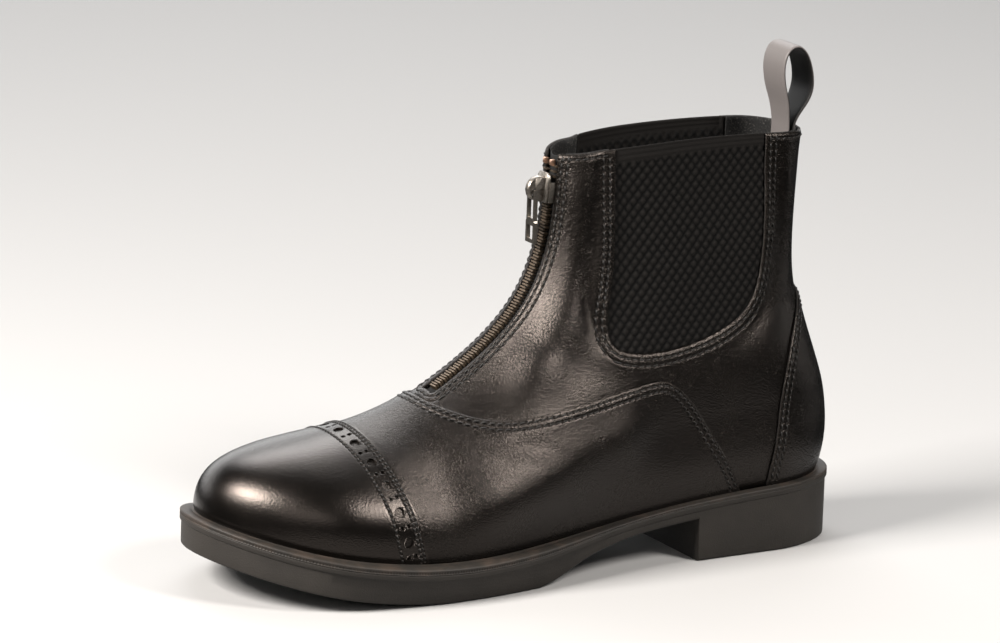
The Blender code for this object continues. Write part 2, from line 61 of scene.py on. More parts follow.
def table(names, *rows):
    """A table with named columns, one row for each section."""
    return dict(zip(names.split(), np.array(rows, float).T))


FEATHER = table(
    "along up",
    (-6, 28.3), (0, 28.2), (40, 26.8), (71, 24.8), (111, 20.4), (151, 16.8),
    (180, 15.8), (202, 16.8), (217, 18.4), (245, 23.4), (271.5, 30.5), (280, 33.2),
)
FRONT = table(
    "along up",
    (269.5, 30), (269, 36.3), (266.8, 42.2), (260.3, 48.4), (247.3, 53.5),
    (229.6, 57.2), (206.4, 62.3), (181, 72.6), (160.7, 85.6), (151.9, 92.5),
    (143.1, 101.3), (135.5, 112.5), (129.6, 128.8), (127.2, 145.9), (126.4, 165),
)
BACK = table(
    "along up",
    (0.5, 28.2), (-1.7, 39.3), (-2.1, 49.4), (-0.8, 61.4), (3.3, 74.4),
    (8.3, 88.4), (12.3, 102.4), (14.4, 119.4), (13.8, 141.5), (12.4, 167.7),
)
PLAN = table(
    "along outer inner centre",
    (-5, 28.3, 28.3, 0), (34, 28.3, 28.3, 0), (70, 29.3, 27.3, 0), (110, 31.3, 26.8, 0),
    (145, 37.3, 31.8, -0.3), (178, 42.3, 39.8, -0.9), (200, 43, 43.5, -1.5), (225, 40.8, 44.3, -2.8),
    (250, 36.3, 40.8, -5), (271.5, 32.3, 36.3, -8),
)
SHAFT = table(
    "up outer inner front_round back_round",
    (27, 30, 30, 69, 34), (50, 31, 31, 69, 36), (75, 29, 29, 69, 39), (100, 25, 26, 64, 38),
    (125, 21, 23.5, 57, 31), (150, 17.5, 21, 50, 22), (170, 16, 20, 46, 18),
)
CROWN = table("along power", (185, 1.7), (215, 2.0), (240, 2.2), (272, 2.1))
TOE_ROUND = 46.0
END_POWER = 2.2
VAMP_RUN, PEAK_RISE, PEAK_FALL = (124, 190), (124, 168), (188, 240)
PEAK, PEAK_MORE = 0.5, 0.14
ANKLE_RISE = (20, 75)
SWELL, SWELL_HEIGHT = 0.05, 34
COLLAR_RISE = 3.0
RIDGE_SOFT = 0.6


def spline(knots, values):
    """Natural cubic curve through the rows of a table."""
    count = len(knots)
    gap = np.diff(knots)
    rise = np.diff(values) / gap
    matrix = np.eye(count)
    right = np.zeros(count)
    for i in range(1, count - 1):
        matrix[i, i - 1:i + 2] = gap[i - 1], 2 * (gap[i - 1] + gap[i]), gap[i]
        right[i] = 6 * (rise[i] - rise[i - 1])
    bend = np.linalg.solve(matrix, right)

    def curve(at):
        at = np.clip(np.asarray(at, float), knots[0], knots[-1])
        i = np.clip(np.searchsorted(knots, at) - 1, 0, count - 2)
        before = at - knots[i]
        after = knots[i + 1] - at
        cubic = (bend[i] * after**3 + bend[i + 1] * before**3) / (6 * gap[i])
        start = (values[i] / gap[i] - bend[i] * gap[i] / 6) * after
        end = (values[i + 1] / gap[i] - bend[i + 1] * gap[i] / 6) * before
        return cubic + start + end

    return curve


def column(rows, name, key="along"):
    return spline(rows[key], rows[name])


def path(rows, count):
    """Evenly spread points of the smooth line through a table's (along, up) rows."""
    points = np.stack([rows["along"], rows["up"]], 1)
    knots = np.r_[0, np.cumsum(np.sqrt(np.linalg.norm(np.diff(points, axis=0), axis=1)))]
    fine = np.linspace(0, knots[-1], 1500)
    line = np.stack([spline(knots, points[:, 0])(fine), spline(knots, points[:, 1])(fine)], 1)
    return even(line, count)


def even(line, count):
    """A line with its points spread evenly along it."""
    length = np.r_[0, np.cumsum(np.linalg.norm(np.diff(line, axis=0), axis=1))]
    spots = np.linspace(0, length[-1], count)
    return np.stack([np.interp(spots, length, part) for part in line.T], 1)


def ease(low, high, at):
    share = np.clip((at - low) / (high - low), 0, 1)
    return share * share * (3 - 2 * share)


def hump(at, middle, width):
    """A soft hill of height 1."""
    return np.exp(-((at - middle) / width)**2)


RIDGE = path(FRONT, 1500)
TOE_TIP = FRONT["along"][0]
HEEL_UP = BACK["up"][0]
COLLAR_BACK_UP = BACK["up"][-1]
feather_up = column(FEATHER, "up")
back_along = column(BACK, "along", "up")
centre_across = column(PLAN, "centre")
plan_half = {1: column(PLAN, "outer"), -1: column(PLAN, "inner")}
shaft_half = {1: column(SHAFT, "outer", "up"), -1: column(SHAFT, "inner", "up")}
front_round = column(SHAFT, "front_round", "up")
back_round = column(SHAFT, "back_round", "up")


def ridge_up(along):
    return np.interp(along, RIDGE[::-1, 0], RIDGE[::-1, 1])


def ridge_along(up):
    return np.interp(up, RIDGE[:, 1], RIDGE[:, 0])


def crown_width(drop, peak):
    """Width share below a crown: the peak sharpens it, and the softening rounds the very top."""
    drop = np.clip(drop, 0, 1)
    return np.sqrt((drop**(2 * peak) + RIDGE_SOFT * drop) / (1 + RIDGE_SOFT))


def half_width(along, up, side):
    """Half width of the upper at a place of its side view; side is 1 for outer and -1 for inner."""
    toe = np.clip((TOE_TIP - along) / TOE_ROUND, 0, 1)
    foot = plan_half[side](along) * np.sqrt(np.clip(1 - (1 - toe)**END_POWER, 0, 1))
    floor = feather_up(along)
    vamp_share = ease(*VAMP_RUN, along)
    height = np.clip((up - floor) / np.maximum(ridge_up(along) - floor, 0.5), 0, 1)
    inside = np.clip((ridge_along(up) - along) / front_round(up), 0, 1)
    power = np.interp(along, CROWN["along"], CROWN["power"])
    peak = PEAK + PEAK_MORE * ease(*PEAK_RISE, along) * (1 - ease(*PEAK_FALL, along))
    over_foot = crown_width(1 - height**power, peak)
    over_shaft = crown_width(1 - (1 - inside)**2, peak)
    crown = vamp_share * over_foot + (1 - vamp_share) * over_shaft
    ankle = ease(*ANKLE_RISE, up - floor) * (1 - vamp_share)
    half = foot * (1 - ankle) + shaft_half[side](up) * ankle
    half = half * (1 + SWELL * np.sin(np.pi * np.clip((up - floor) / SWELL_HEIGHT, 0, 1))**2)
    rear = np.clip((along - back_along(up)) / back_round(up), 0, 1)
    return half * crown * np.sqrt(np.clip(1 - (1 - rear)**END_POWER, 0, 1))


MARGIN_BACK = 5.7
heel_low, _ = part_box("outsole")
tape_low, tape_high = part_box("zip_tape")
ORIGIN = np.array([
    BACK["along"][0] - MARGIN_BACK - heel_low.x / MM,
    -(tape_low.y + tape_high.y) / 2 / MM,
    0,
])
print("the frame's origin in the last's sizes", ORIGIN.round(3))

# %% [markdown]
# ## The skin
# The upper's outer face is a net of rings. Each one starts on the ridge of the toe, instep or shaft, runs
# back round both sides and closes at the heel. Every leather piece is cut from this one skin, so the pieces
# lie on each other as they do on a real boot. The creases that wear and lasting leave are troughs and
# ridges: each is a short line in the side view with a width and a depth.

# %% Skin with its creases

SHAFT_TROUGH = (
    (106, 185), (108.6, 166), (111, 148), (113.8, 129), (116.3, 116.7), (117, 105), (114, 92), (109, 82),
)
SHAFT_BULGE = (
    (115, 178), (116, 154), (117.4, 134), (119.2, 121), (121.8, 111), (126, 101), (133, 90.5),
    (143, 80), (158, 67),
)
ANKLE_DIP = ((146, 96), (136, 90), (125, 84), (110, 79), (98, 78))
BACK_FOLD = ((32, 172), (31, 151), (29.7, 126), (33.4, 111), (39, 99), (50, 90), (60, 84))
VAMP_BULGE = ((190, 33), (170, 38.5), (150, 44), (125, 50), (100, 55), (85, 57))
CREASES = (
    # side, width, depth, line of (along, up); each fades out at both ends
    (1, 3.4, -1.5, SHAFT_TROUGH),
    (1, 8.5, 3.6, SHAFT_BULGE),
    (1, 2.8, 0.6, ((108.6, 150), (109, 132), (111.6, 116.5), (112.5, 106), (110, 94))),
    (1, 7.0, -0.6, ANKLE_DIP),
    (1, 12.0, 3.7, VAMP_BULGE),
    (1, 2.6, -0.14, ((160, 59), (151, 57.5), (142, 55), (132, 51))),
    (1, 2.6, -0.14, ((168, 54), (160, 52), (152, 50), (144, 48))),
    (1, 5.0, -0.8, BACK_FOLD),
    (1, 5.0, 0.6, ((25, 168), (24, 150), (22, 126), (25, 108), (30, 96))),
    (-1, 3.2, -1.3, SHAFT_TROUGH),
    (-1, 6.0, 2.0, SHAFT_BULGE),
    (-1, 7.0, -0.6, ANKLE_DIP),
    (-1, 11.0, 2.4, VAMP_BULGE),
    (-1, 2.6, -0.14, ((164, 58), (154, 56), (144, 53), (134, 49))),
    (-1, 5.0, -0.8, BACK_FOLD),
)
CREASE_FADE = 0.24
SIDE_FADE = (2, 9)
SKIN_STEP, TINY = 0.004, 1e-4


def along_line(along, up, line):
    """Side-view distance from an open line of (along, up) points, and the share of the line run there."""
    best = np.full(np.shape(along), 1e9)
    place = np.zeros(np.shape(along))
    for number, ((a0, u0), (a1, u1)) in enumerate(zip(line[:-1], line[1:])):
        run, rise = a1 - a0, u1 - u0
        share = np.clip(((along - a0) * run + (up - u0) * rise) / (run**2 + rise**2), 0, 1)
        distance = np.hypot(along - a0 - share * run, up - u0 - share * rise)
        nearer = distance < best
        best = np.where(nearer, distance, best)
        place = np.where(nearer, (number + share) / (len(line) - 1), place)
    return best, place


def crease(along, up, width, depth, line):
    """A soft trough or ridge along a smooth line through a few (along, up) points."""
    rows = np.array(line, float)
    smooth = path({"along": rows[:, 0], "up": rows[:, 1]}, 20)
    distance, share = along_line(along, up, smooth)
    fade = ease(0, CREASE_FADE, share) * (1 - ease(1 - CREASE_FADE, 1, share))
    return depth * hump(distance, 0, width) * fade


def flat_skin(share, turn):
    """The skin before creases: share runs from welt to collar, turn once round from the toe."""
    share, turn = np.broadcast_arrays(np.asarray(share, float), np.asarray(turn, float))
    near = np.where(turn > np.pi, 2 * np.pi - turn, turn)
    steps = np.r_[0, np.cumsum(np.linalg.norm(np.diff(RIDGE, axis=0), axis=1))]
    front = [np.interp(share * steps[-1], steps, RIDGE[:, k]) for k in (0, 1)]
    rear_up = HEEL_UP + share * (COLLAR_BACK_UP - HEEL_UP)
    run = (1 - np.cos(near)) / 2
    along = front[0] + (back_along(rear_up) - front[0]) * run
    up = front[1] + (rear_up - front[1]) * run
    straight = feather_up(front[0]) * (1 - run) + HEEL_UP * run
    up = up + (1 - share)**3 * (feather_up(along) - straight)
    up = up + COLLAR_RISE * share**4 * np.sin(near)**2
    roof = np.where(along > FRONT["along"][-1] + 1, ridge_up(along), 999)
    up = np.clip(up, feather_up(along), roof)
    outer = centre_across(along) + half_width(along, up, 1)
    inner = centre_across(along) - half_width(along, up, -1)
    return np.stack([along, np.where(turn > np.pi, inner, outer), up], -1)


def skin(share, turn):
    """Creased skin: points and outward normals, side by side in six columns."""
    step = SKIN_STEP
    around = flat_skin(share, turn + step) - flat_skin(share, np.mod(turn - step, 2 * np.pi))
    rise = flat_skin(np.minimum(share + step, 1), turn) - flat_skin(np.maximum(share - step, 0), turn)
    normal = np.cross(around, rise)
    # On the middle line of toe and heel the skin has no width, and the side view alone gives the normal
    toward = np.sign(np.cos(turn))[..., None]
    middle = np.stack([rise[..., 2], 0 * rise[..., 2], -rise[..., 0]], -1) * toward
    normal = np.where(np.linalg.norm(normal, axis=-1, keepdims=True) > TINY, normal, middle)
    normal = normal / np.linalg.norm(normal, axis=-1, keepdims=True)
    point = flat_skin(share, turn)
    relief = np.zeros(point.shape[:-1])
    for side, width, depth, line in CREASES:
        on_side = ease(*SIDE_FADE, point[..., 1] * side)
        relief += on_side * crease(point[..., 0], point[..., 2], width, depth, line)
    return np.concatenate([point + normal * relief[..., None], normal], -1)


LEVELS = 190
AROUND = 380
LEVEL_BIAS = 1.35


def net(rows, columns, closed):
    """Four-cornered cells of a net of rows and columns."""
    index = np.arange(rows * columns).reshape(rows, columns)
    after = np.roll(index, -1, axis=1)
    if not closed:
        index, after = index[:, :-1], after[:, :-1]
    cells = np.stack([index[:-1], after[:-1], after[1:], index[1:]], -1)
    return cells.reshape(-1, 4)


def skin_net(levels, around):
    """Rows of the whole skin and the cells between them."""
    share = np.linspace(0, 1, levels)[:, None]**LEVEL_BIAS
    turn = np.linspace(0, 2 * np.pi, around, endpoint=False)[None, :]
    return skin(share, turn).reshape(-1, 6), net(levels, around, True)


SKIN, SKIN_CELLS = skin_net(LEVELS, AROUND)
print("skin", len(SKIN), "points, outward share", (SKIN[:, 1] * SKIN[:, 4] > 0).mean().round(3))

# %% [markdown]
# ## Cutting pieces from the skin
# A piece of leather is the part of the skin inside a drawn edge. Here a field holds, for every point of the
# skin, how far inside the edge it is. Cutting the net where the field is zero gives a clean curved edge
# without a Boolean, and the lines where the same field is 2 or 4 mm are where the stitches go.

# %% Fields, cuts and level lines


def inside_outline(points, outline):
    """Distance inside a closed outline of (along, up) in the side view; negative outside."""
    along, up = points[:, 0], points[:, 2]
    closed = np.concatenate([outline, outline[:1]])
    distance, _ = along_line(along, up, closed)
    crossings = np.zeros(len(points), int)
    for (a0, u0), (a1, u1) in zip(closed[:-1], closed[1:]):
        if u0 != u1:
            at = a0 + (up - u0) * (a1 - a0) / (u1 - u0)
            crossings += ((up > min(u0, u1)) & (up <= max(u0, u1)) & (along < at)).astype(int)
    return np.where(crossings % 2 == 1, distance, -distance)


def trim(rows, cells, field):
    """Cuts a mesh where the field is zero and keeps the side where it is positive."""
    keep = field > 0
    made, found = [], {}

    def cut(i, j):
        key = (i, j) if i < j else (j, i)
        if key not in found:
            share = field[key[0]] / (field[key[0]] - field[key[1]])
            made.append(rows[key[0]] + share * (rows[key[1]] - rows[key[0]]))
            found[key] = len(rows) + len(made) - 1
        return found[key]

    faces = []
    for cell in cells:
        flags = [keep[i] for i in cell]
        if all(flags):
            faces.append(tuple(cell))
        elif any(flags):
            ring = []
            for i, j in zip(cell, [*cell[1:], cell[0]]):
                if keep[i]:
                    ring.append(i)
                if keep[i] != keep[j]:
                    ring.append(cut(i, j))
            if len(ring) > 2:
                faces.append(tuple(ring))
    whole = np.concatenate([rows, np.array(made).reshape(-1, rows.shape[1])])
    used = np.unique(np.concatenate([np.array(f) for f in faces]))
    place = np.full(len(whole), -1)
    place[used] = np.arange(len(used))
    return whole[used], [tuple(place[list(f)]) for f in faces]


def level_lines(rows, cells, field, level):
    """Lines on a mesh where the field has one value, each an ordered array of rows."""
    high = field > level
    joined = {}
    for cell in cells:
        ends = []
        for i, j in zip(cell, [*cell[1:], cell[0]]):
            if high[i] != high[j]:
                ends.append((i, j) if i < j else (j, i))
        for one, two in zip(ends[::2], ends[1::2]):
            joined.setdefault(one, []).append(two)
            joined.setdefault(two, []).append(one)

    def spot(key):
        share = (level - field[key[0]]) / (field[key[1]] - field[key[0]])
        return rows[key[0]] + share * (rows[key[1]] - rows[key[0]])

    lines, seen = [], set()
    starts = [k for k, near in joined.items() if len(near) == 1] + list(joined)
    for start in starts:
        if start in seen:
            continue
        chain = [start]
        seen.add(start)
        while True:
            ahead = [k for k in joined[chain[-1]] if k not in seen]
            if not ahead:
                break
            chain.append(ahead[0])
            seen.add(ahead[0])
        if len(chain) > 4:
            lines.append(np.array([spot(k) for k in chain]))
    return lines


LINE_STEP, LINE_APART = 0.3, 100.0


def measured(points, lines):
    """Each point's distance from the nearest line, and how far along that line it is."""
    places, runs = [], []
    start = 0.0
    for line in lines:
        length = np.linalg.norm(np.diff(line[:, :3], axis=0), axis=1).sum()
        dense = even(line[:, :3], max(int(length / LINE_STEP), 4))
        places.append(dense)
        runs.append(start + np.linspace(0, length, len(dense)))
        start += length + LINE_APART
    places, runs = np.concatenate(places), np.concatenate(runs)
    tree = KDTree(len(places))
    for i, place in enumerate(places):
        tree.insert(place, i)
    tree.balance()
    near = np.array([tree.find(p)[1] for p in points])
    offset = points - places[near]
    ahead = np.clip(near + 1, 0, len(places) - 1)
    behind = np.clip(near - 1, 0, len(places) - 1)
    tangent = places[ahead] - places[behind]
    tangent = tangent / np.maximum(np.linalg.norm(tangent, axis=1, keepdims=True), 1e-9)
    slide = np.clip(np.sum(offset * tangent, axis=1), -LINE_STEP, LINE_STEP)
    distance = np.linalg.norm(offset - slide[:, None] * tangent, axis=1)
    return distance, runs[near] + slide


# %% [markdown]
# ## Making meshes
# Every visible piece is one mesh object in the frame's metres. It rides on a body of the boot and may stand
# for a plain solid. The helper sets all of that in one place.

# %% Piece helper


def piece(name, points, faces, material, slot, replaces=(), attributes=None):
    """A mesh object from points in the last's millimetres."""
    mesh = bpy.data.meshes.new(name)
    places = (np.asarray(points)[:, :3] - ORIGIN) * MM
    mesh.from_pydata(places.tolist(), [], [tuple(map(int, f)) for f in faces])
    for title, values in (attributes or {}).items():
        layer = mesh.attributes.new(title, "FLOAT", "POINT")
        layer.data.foreach_set("value", np.asarray(values, np.float32))
    mesh.shade_smooth()
    thing = bpy.data.objects.new(name, mesh)
    bpy.context.scene.collection.objects.link(thing)
    mesh.materials.append(material)
    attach(thing, "boot")
    if replaces:
        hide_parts(*replaces)
    return thing


def thicken(thing, depth, inner=0, rim=0):
    """Gives an open sheet a thickness on its inner side; inner and rim shift the material slot."""
    solid = thing.modifiers.new("leather thickness", "SOLIDIFY")
    solid.thickness = depth * MM
    solid.offset = -1
    solid.material_offset = inner
    solid.material_offset_rim = rim


# %% [markdown]
# ## Shader sums
# A finish is easier to read as a sum than as a tangle of wires. A small class wraps a socket, so that `1 -
# mask` or `grain * 0.3` adds the Math node by itself. One method adds any other node.

# %% Shader class


class Shade:
    """A socket in a material's node tree that can be used in sums."""

    def __init__(self, tree, socket=None):
        self.tree = tree
        self.socket = socket

    def node(self, kind, settings=None, values=None, output=0):
        """Adds a node: its settings are set first, then the values or links of its sockets."""
        made = self.tree.nodes.new("ShaderNode" + kind)
        for name, setting in (settings or {}).items():
            setattr(made, name, setting)
        for name, value in (values or {}).items():
            if isinstance(value, Shade):
                self.tree.links.new(value.socket, made.inputs[name])
            else:
                made.inputs[name].default_value = value
        return Shade(self.tree, made.outputs[output])

    def math(self, operation, *values):
        return self.node("Math", {"operation": operation}, dict(enumerate(values)))

    def __add__(self, other):
        return self.math("ADD", self, other)

    def __sub__(self, other):
        return self.math("SUBTRACT", self, other)

    def __mul__(self, other):
        return self.math("MULTIPLY", self, other)

    def __truediv__(self, other):
        return self.math("DIVIDE", self, other)

    def __rsub__(self, other):
        return self.math("SUBTRACT", other, self)

    __radd__ = __add__
    __rmul__ = __mul__

    def between(self, low, high):
        """Smooth step from 0 at low to 1 at high."""
        settings = {"interpolation_type": "SMOOTHSTEP"}
        return self.node("MapRange", settings, {"Value": self, "From Min": low, "From Max": high})

    def hill(self, middle, width):
        """Soft hill of height 1 round a middle value."""
        away = (self - middle) / width
        return self.math("EXPONENT", away * away * -1.0)

    def mix(self, low, high):
        """Mixes two colours by this mask."""
        values = {"Factor": self, 6: low, 7: high}
        return self.node("Mix", {"data_type": "RGBA"}, values, output=2)


def rgb(red, green, blue):
    return (red, green, blue, 1.0)


def finish(name, colour, rough, **settings):
    """A new Principled material, its shader with the given sockets set, and a start for sums in it."""
    material = bpy.data.materials.new(name)
    material.use_nodes = True
    shader = material.node_tree.nodes["Principled BSDF"]
    shader.inputs["Base Color"].default_value = colour
    shader.inputs["Roughness"].default_value = rough
    for socket, value in settings.items():
        shader.inputs[socket.replace("_", " ").title().replace("Ior", "IOR")].default_value = value
    return material, shader, Shade(material.node_tree)


def connect(shader, name, value):
    shader.id_data.links.new(value.socket, shader.inputs[name])


def dent(shader, height):
    """Bump from a height in millimetres."""
    values = {"Strength": 1.0, "Distance": MM, "Height": height}
    connect(shader, "Normal", Shade(shader.id_data).node("Bump", None, values))


def place_mm(start):
    """Object coordinates in millimetres."""
    here = start.node("TexCoord", output=3)
    return start.node("VectorMath", {"operation": "SCALE"}, {0: here, "Scale": 1 / MM})


def stored(start, name):
    """A number that each point of the mesh keeps."""
    return start.node("Attribute", {"attribute_name": name}, output=2)


def noise(start, where, scale, detail=3.0, rough=0.55):
    values = {"Vector": where, "Scale": scale, "Detail": detail, "Roughness": rough}
    return start.node("TexNoise", {"noise_dimensions": "3D"}, values)


# %% [markdown]
# ## Leather
# Smooth box leather: almost black, warm where light grazes it, with a grain under a millimetre and a soft
# gloss from polish. Each panel carries two numbers per point, its distance from the sewn edge and its place
# along it. From them the finish sinks the stitched rows, pricks a hole at every stitch and wears the edge.
# Each pricked hole is painted near-black as painted shade.

# %% Leather finish

LEATHER_BLACK = rgb(0.0009, 0.0008, 0.0007)
LEATHER_TONE = rgb(0.0014, 0.0012, 0.001)
LEATHER_WORN = rgb(0.008, 0.0065, 0.0055)
# Painted shade: the near-black colour of the pricked stitch holes.
HOLE_PAINTED_SHADE = rgb(0.0002, 0.0002, 0.0002)
WARM_GLOSS = rgb(1.0, 0.87, 0.79)
STITCH = 2.9
CAP_STITCH = 2.0
GROOVE_HALF, GROOVE_DEPTH = 0.6, 0.2
HOLE_RIM, HOLE_DEPTH = (0.42, 0.72), 0.5


def leather(name, rows, pitch, second="", gloss=0.26, grain_depth=0.12, creased=False):
    """Leather with stitched rows at the given distances from its edge."""
    material, shader, start = finish(
        name, LEATHER_BLACK, gloss, specular_ior_level=0.3, specular_tint=WARM_GLOSS)
    where = place_mm(start)
    cells = start.node(
        "TexVoronoi", {"feature": "SMOOTH_F1"}, {"Vector": where, "Scale": 1.3, "Smoothness": 0.5})
    pores = noise(start, where, 2.4, 2.0, 0.6)
    soft = noise(start, where, 0.07, 3.0)
    height = cells * grain_depth + pores * (1.2 * grain_depth)
    if creased:
        height = height + fine_creases(start, where) * 0.07
    edge = stored(start, "edge_distance")
    beat = start.math("WRAP", stored(start, "edge_run"), pitch / 2, -pitch / 2)
    holes = None
    for number, row in enumerate(rows):
        groove = edge.hill(row, GROOVE_HALF)
        spot = start.math("SQRT", beat * beat + (edge - row) * (edge - row))
        hole = 1 - spot.between(*HOLE_RIM)
        if number and second:
            shown = stored(start, second)
            groove = groove * shown
            hole = hole * shown
        height = height - groove * GROOVE_DEPTH - hole * HOLE_DEPTH
        holes = hole if holes is None else holes + hole
    worn = (1 - edge.between(0.0, 0.6)) * 0.7
    tone = soft.between(0.35, 0.75).mix(LEATHER_BLACK, LEATHER_TONE)
    # The holes get painted shade; the lighter edge colour is wear.
    tone = holes.mix(worn.mix(tone, LEATHER_WORN), HOLE_PAINTED_SHADE)
    connect(shader, "Base Color", tone)
    connect(shader, "Roughness", gloss - 0.06 + soft * 0.07 + pores * 0.06 + holes * 0.6)
    dent(shader, height)
    return material


def fine_creases(start, where):
    """Small slanting wrinkles beside the zip, where the shaft bends most."""
    along = start.node("SeparateXYZ", None, {0: where}, output=0) + float(ORIGIN[0])
    up = start.node("SeparateXYZ", None, {0: where}, output=2)
    wander = noise(start, where, 0.16, 2.0)
    wave = start.math("SINE", (along * 0.8 + up * 1.35) + wander * 9.0)
    region = along.hill(118.0, 7.5) * up.hill(139.0, 13.0)
    return (wave * 0.5 + 0.5) * region


QUARTER_ROWS = (2.2, 4.8)
OVERLAY_ROWS = (1.5, 3.9)
CAP_ROWS = (1.3, 2.7, 10.2)
quarter_leather = leather("quarter leather", QUARTER_ROWS, STITCH, "second_row", creased=True)
overlay_leather = leather("vamp leather", OVERLAY_ROWS, STITCH)
cap_leather = leather("cap leather", CAP_ROWS, CAP_STITCH, gloss=0.25, grain_depth=0.05)

# %% [markdown]
# ## Lining, edges and thread
# Inside is a black cloth lining, speckled by its own weave. Cut leather edges are rough and a little
# lighter than the face. The thread is black and waxed, so it shines only on the crown of each stitch.

# %% Small finishes


def cloth(name, colour, light, scale, depth):
    """Matt cloth with a fleck of lighter yarn."""
    material, shader, start = finish(name, colour, 0.9, specular_ior_level=0.25)
    where = place_mm(start)
    fleck = noise(start, where, scale, 2.0)
    connect(shader, "Base Color", fleck.between(0.55, 0.72).mix(colour, light))
    dent(shader, fleck * depth)
    return material


lining_cloth = cloth("lining cloth", rgb(0.003, 0.003, 0.003), rgb(0.035, 0.033, 0.03), 1.6, 0.25)
sock_cloth = cloth("sock cloth", rgb(0.006, 0.006, 0.006), rgb(0.015, 0.015, 0.014), 1.2, 0.2)
tape_cloth = cloth("zip tape", rgb(0.002, 0.002, 0.002), rgb(0.008, 0.008, 0.007), 2.2, 0.15)
edge_leather = cloth("cut leather edge", rgb(0.006, 0.005, 0.0045), rgb(0.016, 0.013, 0.011), 1.5, 0.1)
thread_black, thread_shader, thread_start = finish(
    "waxed thread", rgb(0.003, 0.0026, 0.0022), 0.48, specular_ior_level=0.28)
twist = noise(thread_start, place_mm(thread_start), 3.0)
dent(thread_shader, twist * 0.1)

# %% [markdown]
# ## Leather panels
# The quarters and shaft are the base layer, with windows for the gussets and a slot for the zip. The vamp
# and the counter are sewn over them, and the toe cap over the vamp. An overlay lies about a millimetre
# proud and rolls down at its cut edge; near the welt all of them tuck in, which leaves the dark groove
# there.

# %% Edges of the panels

GUSSET_EDGE = table(
    "along up",
    (104, 190), (104, 168), (104.2, 147), (106.2, 117), (110, 99), (108.5, 91.5), (104, 88.3),
    (85, 87), (57, 94), (43.5, 104.5), (37.5, 124), (36, 150), (35.8, 190),
)
VAMP_EDGE = table(
    "along up",
    (190, 80), (184, 72.5), (177.3, 69.2), (163.6, 66), (146.9, 66.7), (122.9, 70.3), (107.4, 73),
    (92, 75.4), (86, 75.2), (79.6, 71.6), (70, 60.6), (62.4, 48.9), (55.5, 38.7), (49.7, 28.2), (45, 19),
)
CAP_EDGE = table(
    "along up",
    (196, 8), (198.6, 18), (200.9, 26.7), (203.7, 38.5), (206, 48.7), (209, 58), (215, 72),
)
COUNTER_EDGE = table(
    "along up",
    (36.4, 18), (35.8, 30), (34.8, 37.6), (32.8, 49.7), (30.6, 66.3), (26, 82), (19, 95), (4, 112),
)
ZIP_HALF = 4.4
ZIP_FOOT, ZIP_REAR = 178.0, 112.0


OUTLINES = {
    "gusset": path(GUSSET_EDGE, 80),
    "cap": np.concatenate([path(CAP_EDGE, 40), [(320, 90), (320, 5)]]),
    "vamp": np.concatenate([path(VAMP_EDGE, 90), [(45, 5), (320, 5), (320, 95)]]),
    "counter": np.concatenate([path(COUNTER_EDGE, 40), [(-20, 112), (-20, 18)]]),
}


def within(name, rows):
    """Distance inside a panel's outline in the side view."""
    return inside_outline(rows, OUTLINES[name])


def zip_field(rows):
    """Distance inside the zip's slot, at the front of the shaft only."""
    between = np.minimum(ZIP_FOOT - rows[:, 0], rows[:, 0] - ZIP_REAR)
    return np.minimum(ZIP_HALF - np.abs(rows[:, 1]), between)


FIELDS = {name: within(name, SKIN) for name in OUTLINES}
FIELDS["zip"] = zip_field(SKIN)
EDGES = {name: level_lines(SKIN, SKIN_CELLS, field, 0.0) for name, field in FIELDS.items()}
EDGES["collar"] = [np.concatenate([SKIN[-AROUND:], SKIN[-AROUND:-AROUND + 1]])]
print("edges", {name: [len(line) for line in lines] for name, lines in EDGES.items()})

# %% [markdown]
# ## Laying the panels
# At the bench the panels are cut flat, thinned at their edges, sewn together and pulled over the last. Here
# each one is cut from the skin, lifted by the layers under it and given a thickness. Nothing has to be
# draped, and no layer can cut through another.

# %% Panels

WALL = 1.2
LIFT = {"vamp": 1.3, "counter": 1.3, "cap": 2.0}
ROLL = {"vamp": 0.4, "counter": 0.4, "cap": 0.25}
SHEET = 0.75
UNDERLAP = 14.0
BACK_SEAM, BACK_SEAM_HALF = 0.55, 1.5
TUCK, TUCK_HEIGHT = 0.6, 1.8
ROLL_HALF = 0.9
CAP_PRESS, CAP_PRESS_RUN = 0.18, (-2.0, 0.2)
PAD, PAD_HALF = 0.3, 5.5
FOLD, FOLD_HALF = 0.4, 0.7


def lifted(rows, height):
    """Rows moved out from the skin; the normals stay."""
    moved = rows.copy()
    moved[:, :3] += rows[:, 3:6] * height[:, None]
    return moved


def tuck(rows):
    """How far a panel draws in just above the welt."""
    return TUCK * np.exp(-((rows[:, 2] - feather_up(rows[:, 0])) / TUCK_HEIGHT)**2)


def make_overlay(name, field, material, node):
    rows, faces = trim(SKIN, SKIN_CELLS, field)
    edge, run = measured(rows[:, :3], EDGES[name])
    height = LIFT[name] - ROLL[name] * hump(edge, 0, ROLL_HALF) - tuck(rows)
    if name == "vamp":
        height -= CAP_PRESS * ease(*CAP_PRESS_RUN, within("cap", rows))
    rows = lifted(rows, height)
    panel = piece(name + "_leather", rows, faces, material, "leather", (node,),
                  attributes={"edge_distance": edge, "edge_run": run})
    panel.data.materials.append(edge_leather)
    thicken(panel, SHEET, rim=1)
    return rows, faces, edge, run, panel


